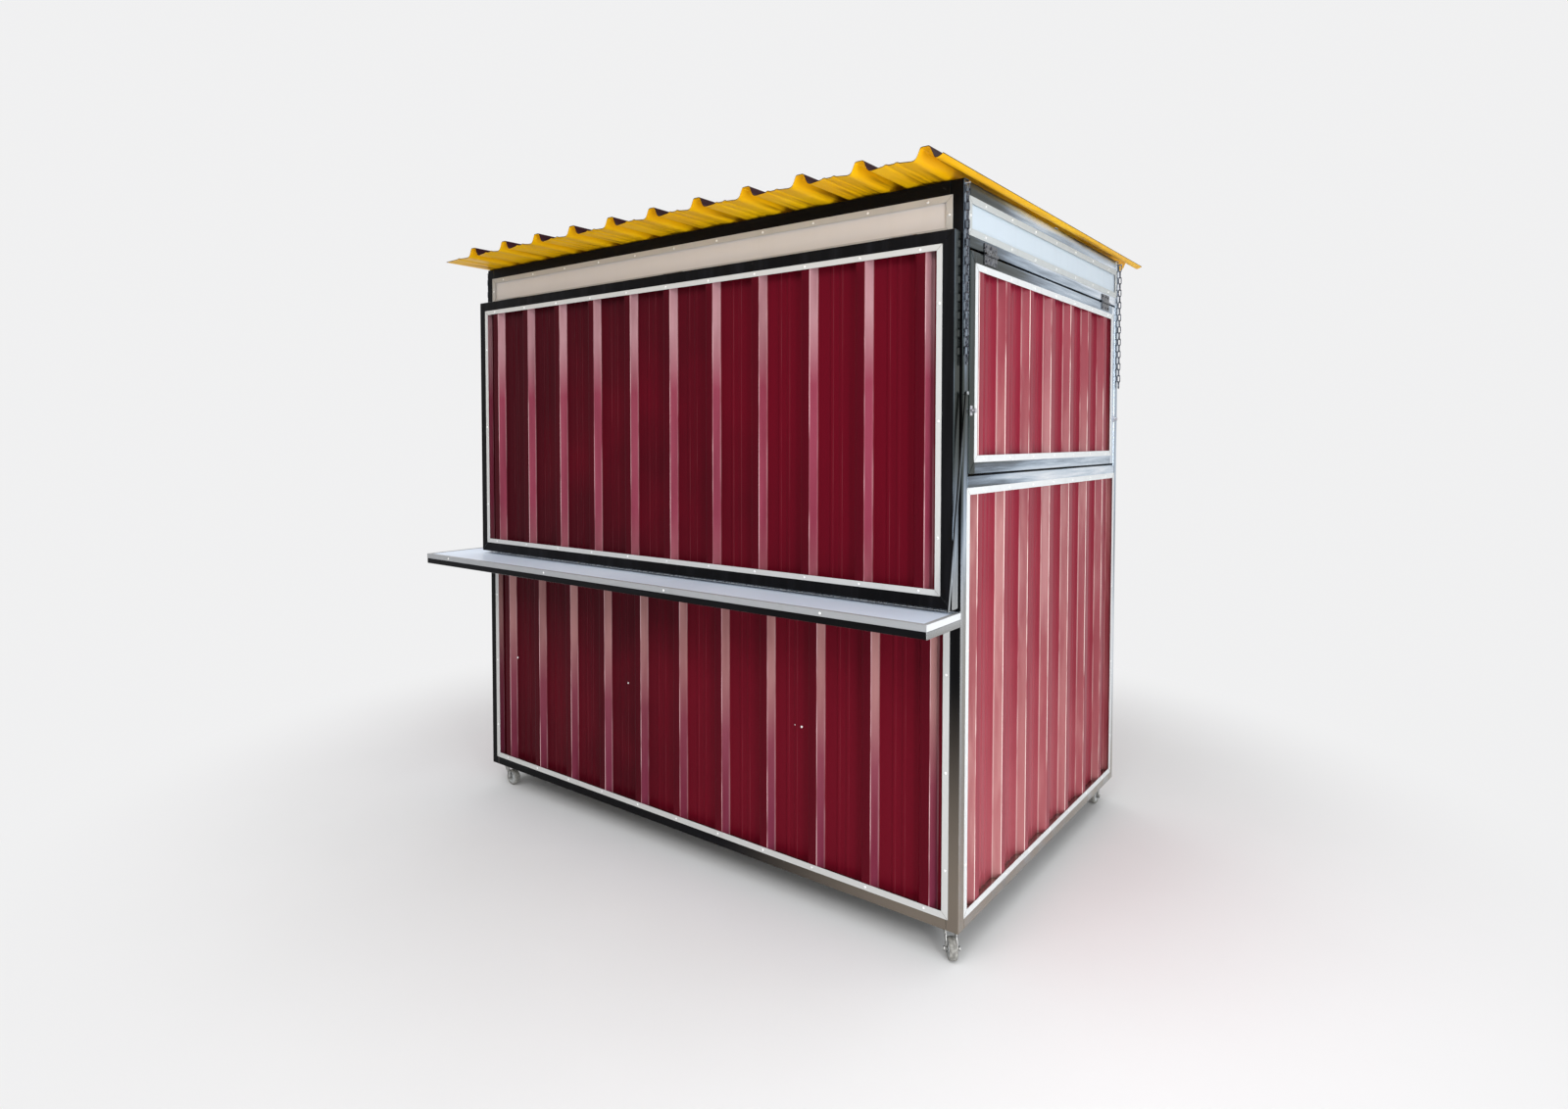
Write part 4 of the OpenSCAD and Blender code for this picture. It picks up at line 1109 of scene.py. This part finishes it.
def axle_nuts(corner):
    """A nut on each end of the axle, outside the fork."""
    axle, middle = axle_of(corner)
    reach = max(abs((v.co - middle).dot(axle)) for v in frame["nodes"]["fork_" + corner].data.vertices)
    rows = [(r * NUT_R, h * NUT_H) for r, h in NUT_PROFILE]
    nuts = [lathe(rows, HEX_SIDES, middle + side * reach * axle, side * axle) for side in (1, -1)]
    small_parts("axle_nuts_" + corner, nuts, "caster_" + corner, FORK)


def plate_bolts():
    """Four bolts up through each caster plate."""
    heads = []
    for solid in solids("caster_plates"):
        low = solid.min(0)
        high = solid.max(0)
        for x in (low[X] + BOLT_INSET, high[X] - BOLT_INSET):
            for y in (low[Y] + BOLT_INSET, high[Y] - BOLT_INSET):
                heads.append(hex_screw((x, y, high[Z] - PLATE_T), DOWN))
    small_parts("caster_plate_bolts", heads, "kiosk", FORK)


for corner in CORNERS:
    turned_wheel(corner)
    axle_nuts(corner)
plate_bolts()


# Chains

def chain_link(middle, turned):
    """One long link, its loop across X or across Y."""
    half = LINK_WIDTH / 2 - LINK_WIRE
    straight = LINK_PITCH / 2 + LINK_WIRE - half
    path = []
    for side in (1, -1):
        for k in range(LINK_STEPS + 1):
            angle = math.pi * k / LINK_STEPS
            across = half * math.cos(angle) * side
            up = side * (straight + half * math.sin(angle))
            path.append(middle + (Vector((across, 0, up)) if turned else Vector((0, across, up))))
    return swept_ring(path, LINK_WIRE, WIRE_SIDES)


def chains():
    """Links in place of the CAD's four hanging bars."""
    links = []
    for bar in solids("hanging_chains"):
        low = Vector(bar.min(0))
        high = Vector(bar.max(0))
        for k in range(round((high.z - low.z) / LINK_PITCH)):
            middle = Vector(((low.x + high.x) / 2, (low.y + high.y) / 2, high.z - (k + 0.5) * LINK_PITCH))
            links.append(chain_link(middle, k % 2 == 0))
    piece = small_parts("chain_links", links, "kiosk", CHAIN)
    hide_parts("hanging_chains")


chains()


# Stage, light and camera

def seen_directly(tree):
    """1 for camera, glossy and transmission rays, 0 for the rays that light the object."""
    rays = add(tree, "ShaderNodeLightPath").outputs
    mirrored = larger(tree, rays["Is Camera Ray"], rays["Is Glossy Ray"])
    return larger(tree, mirrored, rays["Is Transmission Ray"])


def stage_floor():
    """Pale floor that keeps the shadow near the kiosk and fades into the backdrop's colour further out."""
    material, tree, shader, place = new_material("floor_pale")
    base = mix(tree, ramp(tree, noise(tree, place, 0.8), 0.3, 0.7), *FLOOR_TONES)
    set_inputs(tree, shader, Base_Color=base, Roughness=0.9, Specular_IOR_Level=0.1)
    distance = add(tree, "ShaderNodeVectorMath", {"operation": "LENGTH"})
    tree.links.new(place, distance.inputs[0])
    away = ramp(tree, distance.outputs["Value"], *FLOOR_FADE)
    glow = add(tree, "ShaderNodeEmission", Color=PALE, Strength=1.0)
    mix_shaders(tree, product(tree, away, seen_directly(tree)), shader, glow)
    angles = [2 * math.pi * k / FLOOR_SIDES for k in range(FLOOR_SIDES)]
    rim = [(FLOOR_RADIUS * math.cos(angle), FLOOR_RADIUS * math.sin(angle), 0) for angle in angles]
    mesh = bpy.data.meshes.new("floor")
    mesh.from_pydata(rim, [], [tuple(range(FLOOR_SIDES))])
    mesh.materials.append(material)
    floor = new_object("floor", mesh)


def stage_world():
    """Pale backdrop, and a softer even light for the object."""
    world = bpy.data.worlds.new("studio")
    bpy.context.scene.world = world
    world.use_nodes = True
    tree = world.node_tree
    soft = tree.nodes["Background"]
    set_inputs(tree, soft, Color=(1, 1, 1, 1), Strength=AMBIENT)
    pale = add(tree, "ShaderNodeBackground", Color=PALE, Strength=1.0)
    mix_shaders(tree, seen_directly(tree), soft, pale)


def aimed(name, data, at, direction):
    """A lamp or camera in its place, looking in a direction."""
    made = new_object(name, data)
    made.location = at
    made.rotation_mode = "QUATERNION"
    made.rotation_quaternion = direction.to_track_quat("-Z", "Y")
    return made


def softbox(name, at, target, width, height, radiance, colour):
    """Rectangular lamp of a given brightness."""
    light = bpy.data.lights.new(name, "AREA")
    light.shape = "RECTANGLE"
    light.size = width
    light.size_y = height
    light.energy = radiance * math.pi * width * height
    light.color = colour
    lamp = aimed(name, light, at, Vector(target) - Vector(at))
    lamp.visible_camera = False


def stage_camera():
    """Camera at the photograph's place, with its off-centre framing as shift."""
    data = bpy.data.cameras.new("camera")
    data.sensor_fit = "HORIZONTAL"
    data.sensor_width = SENSOR
    data.lens = FOCAL_PX / IMAGE_W * SENSOR
    data.shift_x = (IMAGE_W / 2 - CENTRE_PX[0]) / IMAGE_W
    data.shift_y = (CENTRE_PX[1] - IMAGE_H / 2) / IMAGE_W
    ahead = Vector((-math.sin(CAMERA_YAW) * math.cos(CAMERA_PITCH),
                    math.cos(CAMERA_YAW) * math.cos(CAMERA_PITCH), -math.sin(CAMERA_PITCH)))
    bpy.context.scene.camera = aimed("camera", data, CAMERA_AT, ahead)


stage_floor()
stage_world()
for lamp in LAMPS:
    softbox(*lamp)
stage_camera()
bpy.context.scene.view_settings.view_transform = "Standard"
